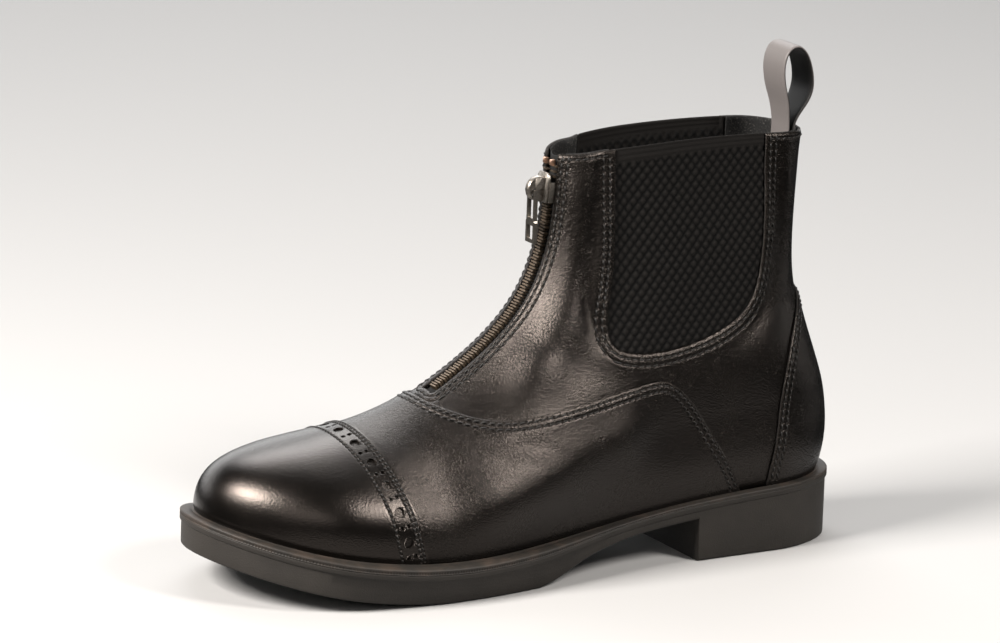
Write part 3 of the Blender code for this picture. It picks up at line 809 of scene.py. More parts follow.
def make_quarters():
    field = np.minimum(-FIELDS["gusset"], -FIELDS["zip"])
    covered = np.maximum(np.maximum(FIELDS["vamp"], FIELDS["cap"]), FIELDS["counter"])
    rows, faces = trim(SKIN, SKIN_CELLS, np.minimum(field, UNDERLAP - covered))
    found = [measured(rows[:, :3], EDGES[name]) for name in ("gusset", "zip", "collar")]
    distance = np.stack([d for d, _ in found])
    nearest = distance.argmin(axis=0)
    pick = np.arange(len(rows))
    edge = distance[nearest, pick]
    run = np.stack([r for _, r in found])[nearest, pick]
    second = (nearest < 2).astype(float)
    height = PAD * hump(edge, 0, PAD_HALF) - FOLD * hump(edge, 0, FOLD_HALF) - tuck(rows)
    height += BACK_SEAM * hump(rows[:, 1], 0, BACK_SEAM_HALF) * (rows[:, 0] < 40)
    rows = lifted(rows, height)
    panel = piece("quarter_leather", rows, faces, quarter_leather, "leather", ("upper",),
                  attributes={"edge_distance": edge, "edge_run": run, "second_row": second})
    panel.data.materials.append(edge_leather)
    thicken(panel, WALL, inner=1, rim=1)
    return rows, faces, distance, found


vamp = make_overlay("vamp", np.minimum(FIELDS["vamp"], UNDERLAP - FIELDS["cap"]), overlay_leather, "vamp")
cap = make_overlay("cap", FIELDS["cap"], cap_leather, "toe_cap")
counter = make_overlay("counter", FIELDS["counter"], overlay_leather, "heel_counter")
quarters = make_quarters()
for title, made in (("vamp", vamp), ("cap", cap), ("counter", counter), ("quarters", quarters)):
    print(title, len(made[0]), "points", len(made[1]), "faces")

# %% [markdown]
# ## Lining
# The lining follows the skin about two millimetres inside and is cut back from the zip. It's a thin sheet
# of its own, so that the collar shows two layers from above.

# %% Lining sheet

LINING_IN, LINING_SHEET = 1.9, 0.3
LINING_ROWS, LINING_COLUMNS = 120, 220
ZIP_CLEAR, GUSSET_CLEAR, FOOT_CLEAR = 2.5, 2.0, 3.0
lining_skin, lining_cells = skin_net(LINING_ROWS, LINING_COLUMNS)
above_foot = lining_skin[:, 2] - feather_up(lining_skin[:, 0]) - FOOT_CLEAR
lining_field = np.minimum(-zip_field(lining_skin) - ZIP_CLEAR, above_foot)
lining_field = np.minimum(lining_field, -within("gusset", lining_skin) - GUSSET_CLEAR)
lining_rows, lining_faces = trim(lining_skin, lining_cells, lining_field)
lining_rows = lifted(lining_rows, np.full(len(lining_rows), -LINING_IN))
lining = piece("lining", lining_rows, lining_faces, lining_cloth, "insole")
thicken(lining, LINING_SHEET)
print("lining", len(lining_faces), "faces")

# %% [markdown]
# ## Elastic gussets
# A gusset is a woven elastic web: diagonal strands that cross over each other in a small diamond basket,
# with a plain ribbed band along the top. The weave is real relief here, half a millimetre between points,
# so it holds up from any side. Its colour follows the weave's height: the valleys are painted near-black as
# painted shade and the raised strands a little lighter as painted light.

# %% Gussets

WEAVE_ALONG = 4.0
WEAVE_UP = 4.8
GUSSET_IN = 1.5
BAND, RIB_STEP = 4.2, 1.4
GUSSET_ROWS, GUSSET_COLUMNS = 190, 170
GUSSET_SHARE, GUSSET_TURN = (0.36, 1), (0.66, 2.36)
WEAVE_HEIGHT, GUSSET_SHEET, GUSSET_LAP = 0.8, 0.25, 1.2
# Painted shade for the weave's valleys and painted light for its raised strands.
YARN_PAINTED_SHADE, YARN_PAINTED_LIGHT = rgb(0.0002, 0.0002, 0.0002), rgb(0.0048, 0.0042, 0.0038)

elastic, elastic_shader, elastic_start = finish("woven elastic", YARN_PAINTED_SHADE, 0.85, specular_ior_level=0.1)
yarn = noise(elastic_start, place_mm(elastic_start), 3.5, 2.0)
# Colour by weave height: painted shade low, painted light high.
raised = stored(elastic_start, "weave").between(0.1, 0.9)
connect(elastic_shader, "Base Color", raised.mix(YARN_PAINTED_SHADE, YARN_PAINTED_LIGHT))
dent(elastic_shader, yarn * 0.12)


def basket(along, up):
    """Height from 0 to 1 of a diagonal basket weave."""
    one = along / WEAVE_ALONG + up / WEAVE_UP
    two = along / WEAVE_ALONG - up / WEAVE_UP
    return np.abs(np.sin(np.pi * one) * np.sin(np.pi * two))**0.7


def make_gusset(name, side):
    share = np.linspace(*GUSSET_SHARE, GUSSET_ROWS)[:, None]
    turn = np.linspace(*GUSSET_TURN, GUSSET_COLUMNS)[None, :]
    if side < 0:
        turn = 2 * np.pi - turn[:, ::-1]
    rows = skin(share, turn).reshape(-1, 6)
    top = np.repeat((1 - share) * (COLLAR_BACK_UP - HEEL_UP), turn.shape[1], axis=1).ravel()
    field = within("gusset", rows)
    weave = basket(rows[:, 0], rows[:, 2])
    in_band = 1 - ease(BAND - 0.5, BAND + 0.3, top)
    rib = 0.5 + 0.5 * np.cos(2 * np.pi * top / RIB_STEP)
    weave = weave * (1 - in_band) + in_band * (0.6 + 0.4 * rib)
    height = -GUSSET_IN + WEAVE_HEIGHT * weave * ease(-0.6, 0.6, field)
    rows = np.c_[lifted(rows, height), weave]
    rows, faces = trim(rows, net(GUSSET_ROWS, GUSSET_COLUMNS, False), field + GUSSET_LAP)
    gusset = piece(name + "_web", rows, faces, elastic, "elastic", (name,), attributes={"weave": rows[:, 6]})
    thicken(gusset, GUSSET_SHEET)
    return len(faces)


print("gusset faces", make_gusset("gusset_outer", 1), make_gusset("gusset_inner", -1))

# %% [markdown]
# ## Stitches
# Each seam is a row of short waxed threads that dive into the leather at both ends. The rows are level
# lines of the panels' own edge distance, and a stitch is placed for every step of the place along the edge,
# so it lands between the pricked holes of the finish. One small thread mesh is copied along by arrays.

# %% Thread

THREAD_HALF = 0.4
THREAD_SIDES = 6
THREAD_RINGS = np.array([-1.0, -0.72, 0.0, 0.72, 1.0])
STITCH_REACH, STITCH_FILL = 0.9, 0.4
SHORTEST, LONGEST = 0.6, 3.2
SLANT, LEAN = 0.14, 0.12


def stack_faces(rows, columns):
    """Faces of a stack of closed rings with a cap at each end."""
    last = (rows - 1) * columns
    caps = [tuple(range(columns))[::-1], tuple(range(last, last + columns))]
    return [tuple(cell) for cell in net(rows, columns, True)] + caps


def hoop_faces(rows, columns):
    """Faces of a stack of closed rings whose last ring joins the first."""
    last = (rows - 1) * columns
    after = np.roll(np.arange(columns), -1)
    faces = [tuple(cell) for cell in net(rows, columns, True)]
    return faces + [(last + k, last + after[k], after[k], k) for k in range(columns)]


def joined(parts):
    """Several points-and-faces pairs as one."""
    points, faces, base = [], [], 0
    for shape, sides in parts:
        points.append(shape)
        faces += [tuple(base + k for k in face) for face in sides]
        base += len(shape)
    return np.concatenate(points), faces


def unit_thread():
    """A thread along x from -1 to 1 that sinks at its ends: points and faces."""
    angle = 2 * np.pi * np.arange(THREAD_SIDES) / THREAD_SIDES
    at, angle = np.meshgrid(THREAD_RINGS, angle, indexing="ij")
    girth = THREAD_HALF * (1 - 0.55 * at**4)
    lift = girth * 0.8 * np.sin(angle) + 0.16 - 0.38 * at**2
    points = np.stack([at, girth * np.cos(angle), lift], -1).reshape(-1, 3)
    return points, [face[::-1] for face in stack_faces(len(THREAD_RINGS), THREAD_SIDES)]


def run_forward(line):
    """A line turned so that its place along the edge grows, and that place."""
    if line[0, 6] > line[-1, 6]:
        line = line[::-1]
    return line, np.maximum.accumulate(line[:, 6])


def at_run(line, run, place):
    """The row of a line at one place along the edge."""
    return np.array([np.interp(place, run, part) for part in line.T])


def sew(name, lines, pitch, keep):
    """Stitches along lines whose rows hold place, normal and place along the edge."""
    shape, sides = unit_thread()
    stitches = []
    for line in lines:
        line, run = run_forward(line)
        counts = np.arange(np.ceil(run[0] / pitch), np.floor(run[-1] / pitch))
        for middle in (counts + 0.5) * pitch:
            before, spot, after = (
                at_run(line, run, middle + shift) for shift in (-STITCH_REACH, 0, STITCH_REACH))
            forward = after[:3] - before[:3]
            length = np.linalg.norm(forward)
            if not keep(spot[None, :])[0] or length < SHORTEST or length > LONGEST:
                continue
            forward = forward / length
            out = spot[3:6] - forward * np.dot(spot[3:6], forward)
            out = out / np.linalg.norm(out)
            aside = np.cross(out, forward)
            stretch = STITCH_FILL * pitch * length / (2 * STITCH_REACH)
            place = spot[:3] + shape[:, :1] * (forward * stretch + SLANT * aside)
            place = place + shape[:, 1:2] * (aside + LEAN * forward) + shape[:, 2:] * out
            stitches.append((place, sides))
    piece(name, *joined(stitches), thread_black, "leather")
    return len(stitches)


def row_lines(rows, faces, edge, run, row):
    """Level line of a panel's edge distance, with the place along the edge as a seventh column."""
    return level_lines(np.c_[rows[:, :6], run], faces, edge, row)


def anywhere(spot):
    return np.array([True])


def clear_of_cap(spot):
    """True where the vamp isn't covered by the toe cap."""
    return within("cap", spot) < -1.0


def on_quarter(spot):
    """True where the base leather shows: clear of the overlays and of the other seams' edges."""
    bare = np.maximum(within("vamp", spot), within("counter", spot)) < -0.8
    return bare & (spot[:, 7] > 1.6)


sewn = {}
for title, made, offsets, pitch, keep in (
    ("vamp", vamp, OVERLAY_ROWS, STITCH, clear_of_cap),
    ("counter", counter, OVERLAY_ROWS, STITCH, anywhere),
    ("cap", cap, CAP_ROWS, CAP_STITCH, anywhere),
):
    lines = [line for row in offsets for line in row_lines(*made[:4], row)]
    sewn[title] = sew(title + "_stitches", lines, pitch, keep)
for number, title in enumerate(("gusset", "zip", "collar")):
    distance, run = quarters[3][number]
    others = np.delete(quarters[2], number, axis=0).min(axis=0)
    marked = np.c_[quarters[0][:, :6], run, others]
    offsets = QUARTER_ROWS[:1] if title == "collar" else QUARTER_ROWS
    lines = [line for row in offsets for line in level_lines(marked, quarters[1], distance, row)]
    sewn[title] = sew(title + "_stitches", lines, STITCH, on_quarter)
print("stitches", sewn)

# %% [markdown]
# ## Brogue holes
# The strip behind the toe cap's front seam is punched: one large hole, then a pair of small ones, all the
# way from welt to welt. Real holes need real cuts, so a set of small drums is taken out of the cap with one
# Boolean.

# %% Punched strip

HOLE_STEP = 11.5
LARGE_HOLE = 1.95
SMALL_HOLE = 0.85
LARGE_ROW = 6.2
SMALL_ROWS = (4.8, 7.6)
END_CLEAR = 1.5
PUNCH_SHARP = 0.7


def drums(places, radius, sides=20, depth=1.4):
    """Short drums across the leather at rows of place and normal."""
    angle = 2 * np.pi * np.arange(sides) / sides
    parts = []
    for row in places:
        out = row[3:6] / np.linalg.norm(row[3:6])
        one = np.cross(out, (0.3, 0.9, 0.2))
        one = one / np.linalg.norm(one)
        two = np.cross(out, one)
        rim = row[:3] + radius * (np.cos(angle)[:, None] * one + np.sin(angle)[:, None] * two)
        parts.append((np.concatenate([rim - out * depth, rim + out * depth]), stack_faces(2, sides)))
    return joined(parts)


def spaced(lines, step, shift):
    """Rows at even steps along the edge, counted from the middle of the longest line."""
    line, run = run_forward(max(lines, key=len))
    way = 1 if line[-1, 1] > line[0, 1] else -1
    middle = np.interp(0.0, line[::way, 1], run[::way])
    spots = middle + (np.arange(-40, 41) + shift) * step
    spots = spots[(spots > run[0] + END_CLEAR) & (spots < run[-1] - END_CLEAR)]
    return [at_run(line, run, spot) for spot in spots]


large = spaced(row_lines(*cap[:4], LARGE_ROW), HOLE_STEP, 0.0)
small = [spot for row in SMALL_ROWS for spot in spaced(row_lines(*cap[:4], row), HOLE_STEP, 0.5)]
punch_mesh = bpy.data.meshes.new("punch")
punch_points, punch_faces = joined([drums(large, LARGE_HOLE), drums(small, SMALL_HOLE, 14)])
punch_mesh.from_pydata(((punch_points - ORIGIN) * MM).tolist(), [], punch_faces)
punch = bpy.data.objects.new("punch", punch_mesh)
bpy.context.scene.collection.objects.link(punch)
cap_piece = cap[4]
cutting = cap_piece.modifiers.new("punched holes", "BOOLEAN")
cutting.operation = "DIFFERENCE"
cutting.solver = "MANIFOLD"
cutting.object = punch
bpy.context.view_layer.update()
punched = bpy.data.meshes.new_from_object(cap_piece.evaluated_get(bpy.context.evaluated_depsgraph_get()))
cap_piece.modifiers.clear()
cap_piece.data = punched
punched.set_sharp_from_angle(angle=PUNCH_SHARP)
bpy.data.objects.remove(punch)
print("holes", len(large), "large", len(small), "small;", len(punched.polygons), "faces in the cap")

# %% [markdown]
# ## Zip
# A metal zip is two woven tapes with teeth clenched on their edges. Below the slider the two rows mesh,
# each tooth sitting between two of the other side; above it they part and end in a stop. The teeth are
# copies of one rounded block set along the ridge of the shaft.

# %% Zip tape and teeth

TOOTH_STEP = 1.2
TOOTH_IN, TOOTH_OUT = -1.9, -0.2
TOOTH = [(2.5, 0.4), (1.4, 0.4), (0.7, 0.47), (-1.5, 0.45), (-1.9, 0.25)]
TOOTH_LEVELS = ((0.0, 0.0), (0.75, 0.0), (1.0, 0.16))
METAL_SHARP = 0.9
TAPE_ROWS, TAPE_COLUMNS = 90, 34
TAPE_HALF, TAPE_IN, TAPE_SHEET, TAPE_PAST = 7.6, 2.2, 0.5, 2.5
SLIDER_BOTTOM, SLIDER_TOP, PIVOT_UP = 145.5, 157.5, 150.0


def metal(name, colour, rough, tarnish):
    """Aged metal: darker in patches, with fine scratches."""
    material, shader, start = finish(name, colour, rough, metallic=1.0)
    where = place_mm(start)
    patch = noise(start, where, 0.9, 4.0)
    scratch = noise(start, where, 6.0, 2.0)
    connect(shader, "Base Color", patch.between(0.42, 0.66).mix(colour, tarnish))
    connect(shader, "Roughness", rough - 0.08 + patch * 0.25)
    dent(shader, scratch * 0.03)
    return material


brass = metal("antique brass", rgb(0.14, 0.105, 0.075), 0.42, rgb(0.08, 0.06, 0.043))
copper = metal("copper stop", rgb(0.55, 0.35, 0.25), 0.32, rgb(0.36, 0.22, 0.15))
nickel = metal("antique nickel", rgb(0.24, 0.22, 0.195), 0.32, rgb(0.16, 0.145, 0.128))

tape_share = np.linspace(0.36, 0.996, TAPE_ROWS)[:, None]
tape_turn = np.linspace(-0.62, 0.62, TAPE_COLUMNS)[None, :]
tape_rows = skin(tape_share, np.mod(tape_turn, 2 * np.pi)).reshape(-1, 6)
tape_field = np.minimum(TAPE_HALF - np.abs(tape_rows[:, 1]), ZIP_FOOT + TAPE_PAST - tape_rows[:, 0])
tape_rows = lifted(tape_rows, np.full(len(tape_rows), -TAPE_IN))
tape_rows, tape_faces = trim(tape_rows, net(TAPE_ROWS, TAPE_COLUMNS, False), tape_field)
tape = piece("zip_tape_web", tape_rows, tape_faces, tape_cloth, "tape", ("zip_tape",))
thicken(tape, TAPE_SHEET)

ridge_run = RIDGE[RIDGE[:, 0] < ZIP_FOOT - 1.5]
ridge_length = np.r_[0, np.cumsum(np.linalg.norm(np.diff(ridge_run, axis=0), axis=1))]


def ridge_point(length):
    return np.array([np.interp(length, ridge_length, part) for part in ridge_run.T])


def ridge_place(length):
    """Point, forward and outward direction on the ridge of the shaft, in the side view."""
    step = ridge_point(length + 1) - ridge_point(length - 1)
    forward = step / np.linalg.norm(step)
    return ridge_point(length), forward, np.array([forward[1], -forward[0]])


def tooth_shape():
    """One tooth: a rounded bar with a hooked head, as (across, forward, out) points and faces."""
    outline = TOOTH + [(across, -forward) for across, forward in TOOTH[::-1]]
    points = []
    for level, inset in TOOTH_LEVELS:
        for across, forward in outline:
            points.append((across - np.sign(across) * inset * 0.6, forward * (1 - inset * 1.6), level))
    return np.array(points), stack_faces(len(TOOTH_LEVELS), len(outline))


def set_teeth(placements):
    """Copies the tooth; a placement is a length on the ridge, a side, a sideways shift and a size."""
    shape, faces = tooth_shape()
    parts = []
    for length, side, shift, size in placements:
        at, forward, out = ridge_place(length)
        across = side * (shape[:, 0] * size + shift)
        deep = TOOTH_IN + shape[:, 2] * (TOOTH_OUT - TOOTH_IN) * size
        plane = at + shape[:, 1:2] * size * forward + deep[:, None] * out
        turned = faces if side > 0 else [face[::-1] for face in faces]
        parts.append((np.stack([plane[:, 0], across, plane[:, 1]], 1), turned))
    return joined(parts)


closed_end = np.interp(SLIDER_BOTTOM + 1, ridge_run[:, 1], ridge_length)
open_start = np.interp(SLIDER_TOP - 1.5, ridge_run[:, 1], ridge_length)
meshed = [(k * TOOTH_STEP, 1 if k % 2 else -1, 0.0, 1.0) for k in range(1, int(closed_end / TOOTH_STEP))]
parted = [(open_start + 2.2 * k, side, 2.2 + 0.4 * k, 0.8) for k in range(3) for side in (1, -1)]
teeth = piece("zip_teeth", *set_teeth(meshed + parted), brass, "zip_brass", ("zip_chain",))
teeth.data.set_sharp_from_angle(angle=METAL_SHARP)
print("teeth", len(meshed), "meshed", len(parted), "parted")

# %% [markdown]
# ## Slider and pull
# The slider is cast metal: a shield-shaped plate over the chain, two flanges that hold the rows together
# and a fin with an eye for the pull. The plate and flanges are outlines given a softened thickness, and the
# fin is a stack of rings from the eye out to its own outline. The fin is narrow in front, so the pull can
# swing up past it. The pull tab's solid already has the right form, so it stays and gets rounded edges.

# %% Slider and pull


def slab(outline, low, high, soft):
    """Plate with softened edges: (across, forward, out) points and faces."""
    outline = np.array(outline, float)
    count = len(outline)
    centre = outline.mean(axis=0)
    reach = np.linalg.norm(outline - centre, axis=1, keepdims=True)
    inner = centre + (outline - centre) * (1 - soft / reach)
    rings = ((inner, low), (outline, low + soft), (outline, high - soft), (inner, high))
    points = np.concatenate([np.c_[ring, np.full(count, level)] for ring, level in rings])
    return points, stack_faces(len(rings), count)


def on_ridge(part, up):
    """Moves a part from (across, forward, out) to its height on the ridge of the shaft."""
    points, faces = part
    at, forward, out = ridge_place(np.interp(up, ridge_run[:, 1], ridge_length))
    plane = at + points[:, 1:2] * forward + points[:, 2:3] * out
    return np.stack([plane[:, 0], points[:, 0], plane[:, 1]], 1), faces


def mirrored(outline):
    return [(-across, forward) for across, forward in outline[::-1]]


SHIELD = [(3.2, -6), (3.9, -1), (4.5, 2.5), (4.3, 4.8), (3.2, 6)]
FLANGE = [(3.5, -5.8), (4.3, -5.8), (5.0, 0.5), (4.7, 2.4), (3.9, 2.4)]
STOP = [(1.7, 0), (3.4, 0), (3.4, 2.3), (1.7, 2.3)]
BAIL = np.array([
    (-4.8, -4), (-3, -4.1), (-0.8, -3.6), (1.4, -2.4), (2.7, 0),
    (2.8, 2.2), (1.6, 4.6), (-1, 6), (-3, 6.2), (-4.8, 6),
])
BAIL_POINTS = 48
EYE, EDGE_SOFT = 1.45, 0.5
BAIL_HALF, BAIL_FLARE = 1.45, 1.1
PIVOT_OUT = 6.0
SLIDER_MIDDLE, STOP_UP = (SLIDER_BOTTOM + SLIDER_TOP) / 2, SLIDER_TOP + 3.0


def make_bail():
    """A fin round the eye of the pull: rings from the eye to the outline and back on the other side."""
    angle = 2 * np.pi * np.arange(BAIL_POINTS) / BAIL_POINTS - np.pi
    bearing = np.arctan2(BAIL[:, 1], BAIL[:, 0])
    order = np.argsort(bearing)
    reach = np.interp(angle, bearing[order], np.hypot(*BAIL.T)[order], period=2 * np.pi)
    way = np.stack([np.cos(angle), np.sin(angle)], 1)
    forward, upward = (reach[:, None] * way).T
    flare = BAIL_FLARE * ease(1.6, 4.6, upward) * (1 - ease(-2.8, -1.2, forward))
    pivot = np.array([float(ridge_along(PIVOT_UP)) + PIVOT_OUT, PIVOT_UP])
    eye, inner = np.full(BAIL_POINTS, EYE), reach - EDGE_SOFT
    rings = []
    for size, share in ((eye, 1), (inner, 1), (reach, 0.6), (reach, -0.6), (inner, -1), (eye, -1)):
        place = pivot + way * size[:, None]
        wide = share * (BAIL_HALF + flare * (size > EYE))
        rings.append(np.stack([place[:, 0], wide, place[:, 1]], 1))
    return np.concatenate(rings), hoop_faces(len(rings), BAIL_POINTS)


plate = slab(SHIELD + mirrored(SHIELD), 0.4, 1.9, 0.45)
flanges = [slab(outline, -1.5, 0.9, 0.25) for outline in (FLANGE, mirrored(FLANGE))]
stops = [slab(outline, -1.7, 0.5, 0.4) for outline in (STOP, mirrored(STOP))]
for title, parts, material, slot, replaced in (
    ("slider_body", [on_ridge(plate, SLIDER_MIDDLE), make_bail()], nickel, "zip_steel", ("zip_slider",)),
    ("slider_flanges", [on_ridge(part, SLIDER_MIDDLE) for part in flanges], nickel, "zip_steel", ()),
    ("zip_stops", [on_ridge(part, STOP_UP) for part in stops], copper, "zip_brass", ()),
):
    made = piece(title, *joined(parts), material, slot, replaced)
    made.data.set_sharp_from_angle(angle=METAL_SHARP)
    print(title, len(made.data.polygons), "faces")

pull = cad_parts["zip_pull"]
pull.data.materials.clear()
pull.data.materials.append(nickel)
bevel = pull.modifiers.new("rounded edges", "BEVEL")
bevel.width = 0.3 * MM
bevel.segments = 2
bevel.limit_method = "ANGLE"
print("pull tab keeps its solid")

# %% [markdown]
# ## Pull loop
# A strip of leather folded into a teardrop and sewn inside the back of the collar. It is swept along one
# side-view line with a rounded strip section that narrows toward its sewn ends. Its outer face is painted
# grey as a painted sheen and its inner face is painted black as painted shade, so each point keeps a number
# for the side it lies on.

# %% Pull loop

LOOP_PATH = table(
    "along up",
    (20, 152), (19.1, 167.4), (19.4, 172.7), (20.4, 178.2), (22.1, 184), (23.2, 190), (22.9, 195.6),
    (20.8, 199.9), (17.3, 201.2), (13.7, 199), (11, 194), (9.6, 187.7), (9.9, 182.3), (12, 177.5),
    (14.8, 173.2), (16.4, 169.8), (16.9, 167.4), (17.9, 152),
)
STRAP_HALF, STRAP_FOOT_HALF, STRAP = 8.0, 6.5, 1.5
STRAP_SIDES, STRAP_SQUARE, STRAP_ROUND = 24, 0.35, 0.6
STRAP_NARROWS = (168, 184)
LOOP_POINTS = 170
# Outer face colour is a painted sheen; inner face colour is painted shade.
LOOP_PAINTED_SHEEN, LOOP_PAINTED_SHADE = rgb(0.075, 0.068, 0.066), rgb(0.004, 0.0036, 0.0033)


def strap(line, half):
    """Rounded strip swept along a side-view line: points, faces, and 1 inside the loop to -1 outside."""
    step = np.gradient(line, axis=0)
    step = step / np.linalg.norm(step, axis=1, keepdims=True)
    out = np.stack([-step[:, 1], step[:, 0]], 1)
    angle = 2 * np.pi * np.arange(STRAP_SIDES) / STRAP_SIDES
    across = np.sign(np.cos(angle)) * np.abs(np.cos(angle))**STRAP_SQUARE
    lift = np.sign(np.sin(angle)) * np.abs(np.sin(angle))**STRAP_ROUND * STRAP / 2
    plane = line[:, None, :] + lift[None, :, None] * out[:, None, :]
    points = np.stack([plane[..., 0], across[None, :] * half[:, None], plane[..., 1]], -1)
    return points.reshape(-1, 3), stack_faces(len(line), STRAP_SIDES), np.tile(np.sin(angle), len(line))


loop_line = path(LOOP_PATH, LOOP_POINTS)
loop_half = STRAP_FOOT_HALF + (STRAP_HALF - STRAP_FOOT_HALF) * ease(*STRAP_NARROWS, loop_line[:, 1])
loop_points, loop_faces, loop_inside = strap(loop_line, loop_half)
loop_leather, loop_shader, loop_start = finish("loop leather", LOOP_PAINTED_SHEEN, 0.5, specular_ior_level=0.3)
inside = stored(loop_start, "inside").between(-0.2, 0.2)
# Painted sheen on the outer face, painted shade on the inner face.
connect(loop_shader, "Base Color", inside.mix(LOOP_PAINTED_SHEEN, LOOP_PAINTED_SHADE))
dent(loop_shader, noise(loop_start, place_mm(loop_start), 2.4) * 0.06)
piece("pull_loop_strap", loop_points, loop_faces, loop_leather, "leather", ("pull_loop",),
      attributes={"inside": loop_inside})
print("pull loop", len(loop_faces), "faces")

# %% [markdown]
# ## Sole
# The sole is one moulding: a flat heel block, a waist, a flat tread and a toe that springs up. Its side has
# a thin raised lip under the welt. It is a stack of outlines, each drawn in a little from the foot's own
# outline, and strips from side to side close it above and below.

# %% Sole

WELT_HEIGHT_FORE, WELT_HEIGHT_REAR = 3.2, 1.6
MARGIN_FORE, MARGIN_REAR = 7.0, 3.8
HEEL_BREAST, BREAST_RUN = 69.0, 0.5
FORE_START, FORE_END, TOE_SPRING, SPRING_POWER = 146.0, 188.0, 16.5, 1.7
LIP_HEIGHT, LIP_STEP, BOTTOM_EDGE, FORE_DRAFT = 2.0, 0.6, 1.2, 3.0
GAP = 0.3
WELT_RISE, MARGIN_RISE, MARGIN_HEEL = (105, 150), (80, 160), (0, 18)
DRAFT_RISE, DRAFT_FALL = (110, 150), (200, 250)
FOOT_POINTS, STATIONS, STATION_APART = 480, 150, 0.4
SOLE_SHARP = 0.75
SOLE_WAIST = table(
    "along up",
    (69, 17.3), (95, 14.8), (111, 12.2), (126, 7.6), (138, 2.2), (146, 0),
)


def welt_height(along):
    return WELT_HEIGHT_REAR + (WELT_HEIGHT_FORE - WELT_HEIGHT_REAR) * ease(*WELT_RISE, along)


def sole_top(along):
    return feather_up(along) - welt_height(along)


def sole_margin(along):
    fore = MARGIN_REAR + (MARGIN_FORE - MARGIN_REAR) * ease(*MARGIN_RISE, along)
    return fore + (MARGIN_BACK - MARGIN_REAR) * (1 - ease(*MARGIN_HEEL, along))


def sole_bottom(along):
    waist = np.clip(column(SOLE_WAIST, "up")(along), 0, None)
    lift = np.clip((along - FORE_END) / (TOE_TIP + MARGIN_FORE - FORE_END), 0, 1)
    fore = TOE_SPRING * lift**SPRING_POWER
    return np.where(along <= HEEL_BREAST, 0, np.where(along < FORE_START, waist, fore))


def plan_outward(ring):
    """Level normals of a closed ring, pointing away from it."""
    step = np.roll(ring, -1, axis=0) - np.roll(ring, 1, axis=0)
    normal = np.stack([step[:, 1], -step[:, 0]], 1)
    normal = normal / np.linalg.norm(normal, axis=1, keepdims=True)
    return normal if normal[0, 0] > 0 else -normal


FOOT = flat_skin(0.0, np.linspace(0, 2 * np.pi, FOOT_POINTS, endpoint=False))[:, :2]
FOOT_OUT = plan_outward(FOOT)
SOLE_WHOLE = FOOT + FOOT_OUT * sole_margin(FOOT[:, :1])


def sole_stations():
    """The sole's outline with the same stations down both sides, two of them at the heel breast."""
    half = len(SOLE_WHOLE) // 2
    outer = SOLE_WHOLE[:half + 1][::-1]
    inner = np.concatenate([SOLE_WHOLE[half:], SOLE_WHOLE[:1]])
    heel, toe = SOLE_WHOLE[half], SOLE_WHOLE[0]
    spread = (1 - np.cos(np.linspace(0, np.pi, STATIONS))) / 2
    stations = heel[0] + (toe[0] - heel[0]) * spread
    fixed = np.array([HEEL_BREAST, HEEL_BREAST + BREAST_RUN, FORE_START, FORE_END])
    near = np.abs(stations[:, None] - fixed).min(axis=1) < STATION_APART
    stations = np.sort(np.r_[stations[~near], fixed])[1:-1]
    left = np.stack([stations, np.interp(stations, outer[:, 0], outer[:, 1])], 1)
    right = np.stack([stations, np.interp(stations, inner[:, 0], inner[:, 1])], 1)
    return np.concatenate([[toe], left[::-1], [heel], right])


sole_edge = sole_stations()
sole_out = plan_outward(sole_edge)
sole_along = sole_edge[:, 0]
high, low = sole_top(sole_along), sole_bottom(sole_along)
draft = FORE_DRAFT * ease(*DRAFT_RISE, sole_along) * (1 - ease(*DRAFT_FALL, sole_along))
none = np.zeros(len(sole_along))
side_low, side_high = low + BOTTOM_EDGE, high - LIP_HEIGHT - LIP_STEP
profile = [
    (LIP_STEP + BOTTOM_EDGE + draft, low),
    (LIP_STEP + 0.45 + 0.95 * draft, low + 0.3),
    (LIP_STEP + 0.1 + 0.85 * draft, low + 0.75),
    (LIP_STEP + 0.8 * draft, side_low),
    (LIP_STEP + 0.4 * draft, (side_low + side_high) / 2),
    (LIP_STEP + none, side_high),
    (0.2 + none, high - LIP_HEIGHT - 0.2),
    (none, high - LIP_HEIGHT + 0.25),
    (none, high - 0.35),
    (0.35 + none, high),
]
sole_rings = [np.c_[sole_edge - sole_out * inset[:, None], up] for inset, up in profile]


def cross_strips(start, around, flip):
    """Faces from side to side that close a ring whose two sides share their stations."""
    half = around // 2
    strip = [(start, start + 1, start + around - 1)]
    for i in range(1, half - 1):
        strip.append((start + i, start + i + 1, start + around - i - 1, start + around - i))
    strip.append((start + half - 1, start + half, start + half + 1))
    return [f[::-1] for f in strip] if flip else strip


count = len(sole_edge)
sole_faces = [tuple(f) for f in net(len(sole_rings), count, True)]
sole_faces += cross_strips(0, count, True) + cross_strips((len(sole_rings) - 1) * count, count, False)

RUBBER_DARK, RUBBER_LIGHT = rgb(0.0105, 0.009, 0.0075), rgb(0.014, 0.012, 0.01)
rubber, rubber_shader, rubber_start = finish("sole rubber", RUBBER_DARK, 0.62, specular_ior_level=0.25)
rubber_where = place_mm(rubber_start)
pebble = noise(rubber_start, rubber_where, 1.8, 3.0)
cloud = noise(rubber_start, rubber_where, 0.06, 3.0)
facing = rubber_start.node("NewGeometry", output=1)
downward = 1 - rubber_start.node("SeparateXYZ", None, {0: facing}, output=2).between(-0.95, -0.8)
ribs = rubber_start.node(
    "TexWave", {"wave_type": "BANDS", "bands_direction": "X"},
    {"Vector": rubber_where, "Scale": 0.085, "Distortion": 1.6, "Detail": 1.0, "Detail Scale": 0.4})
connect(rubber_shader, "Base Color", cloud.between(0.3, 0.75).mix(RUBBER_DARK, RUBBER_LIGHT))
connect(rubber_shader, "Roughness", 0.56 + pebble * 0.15)
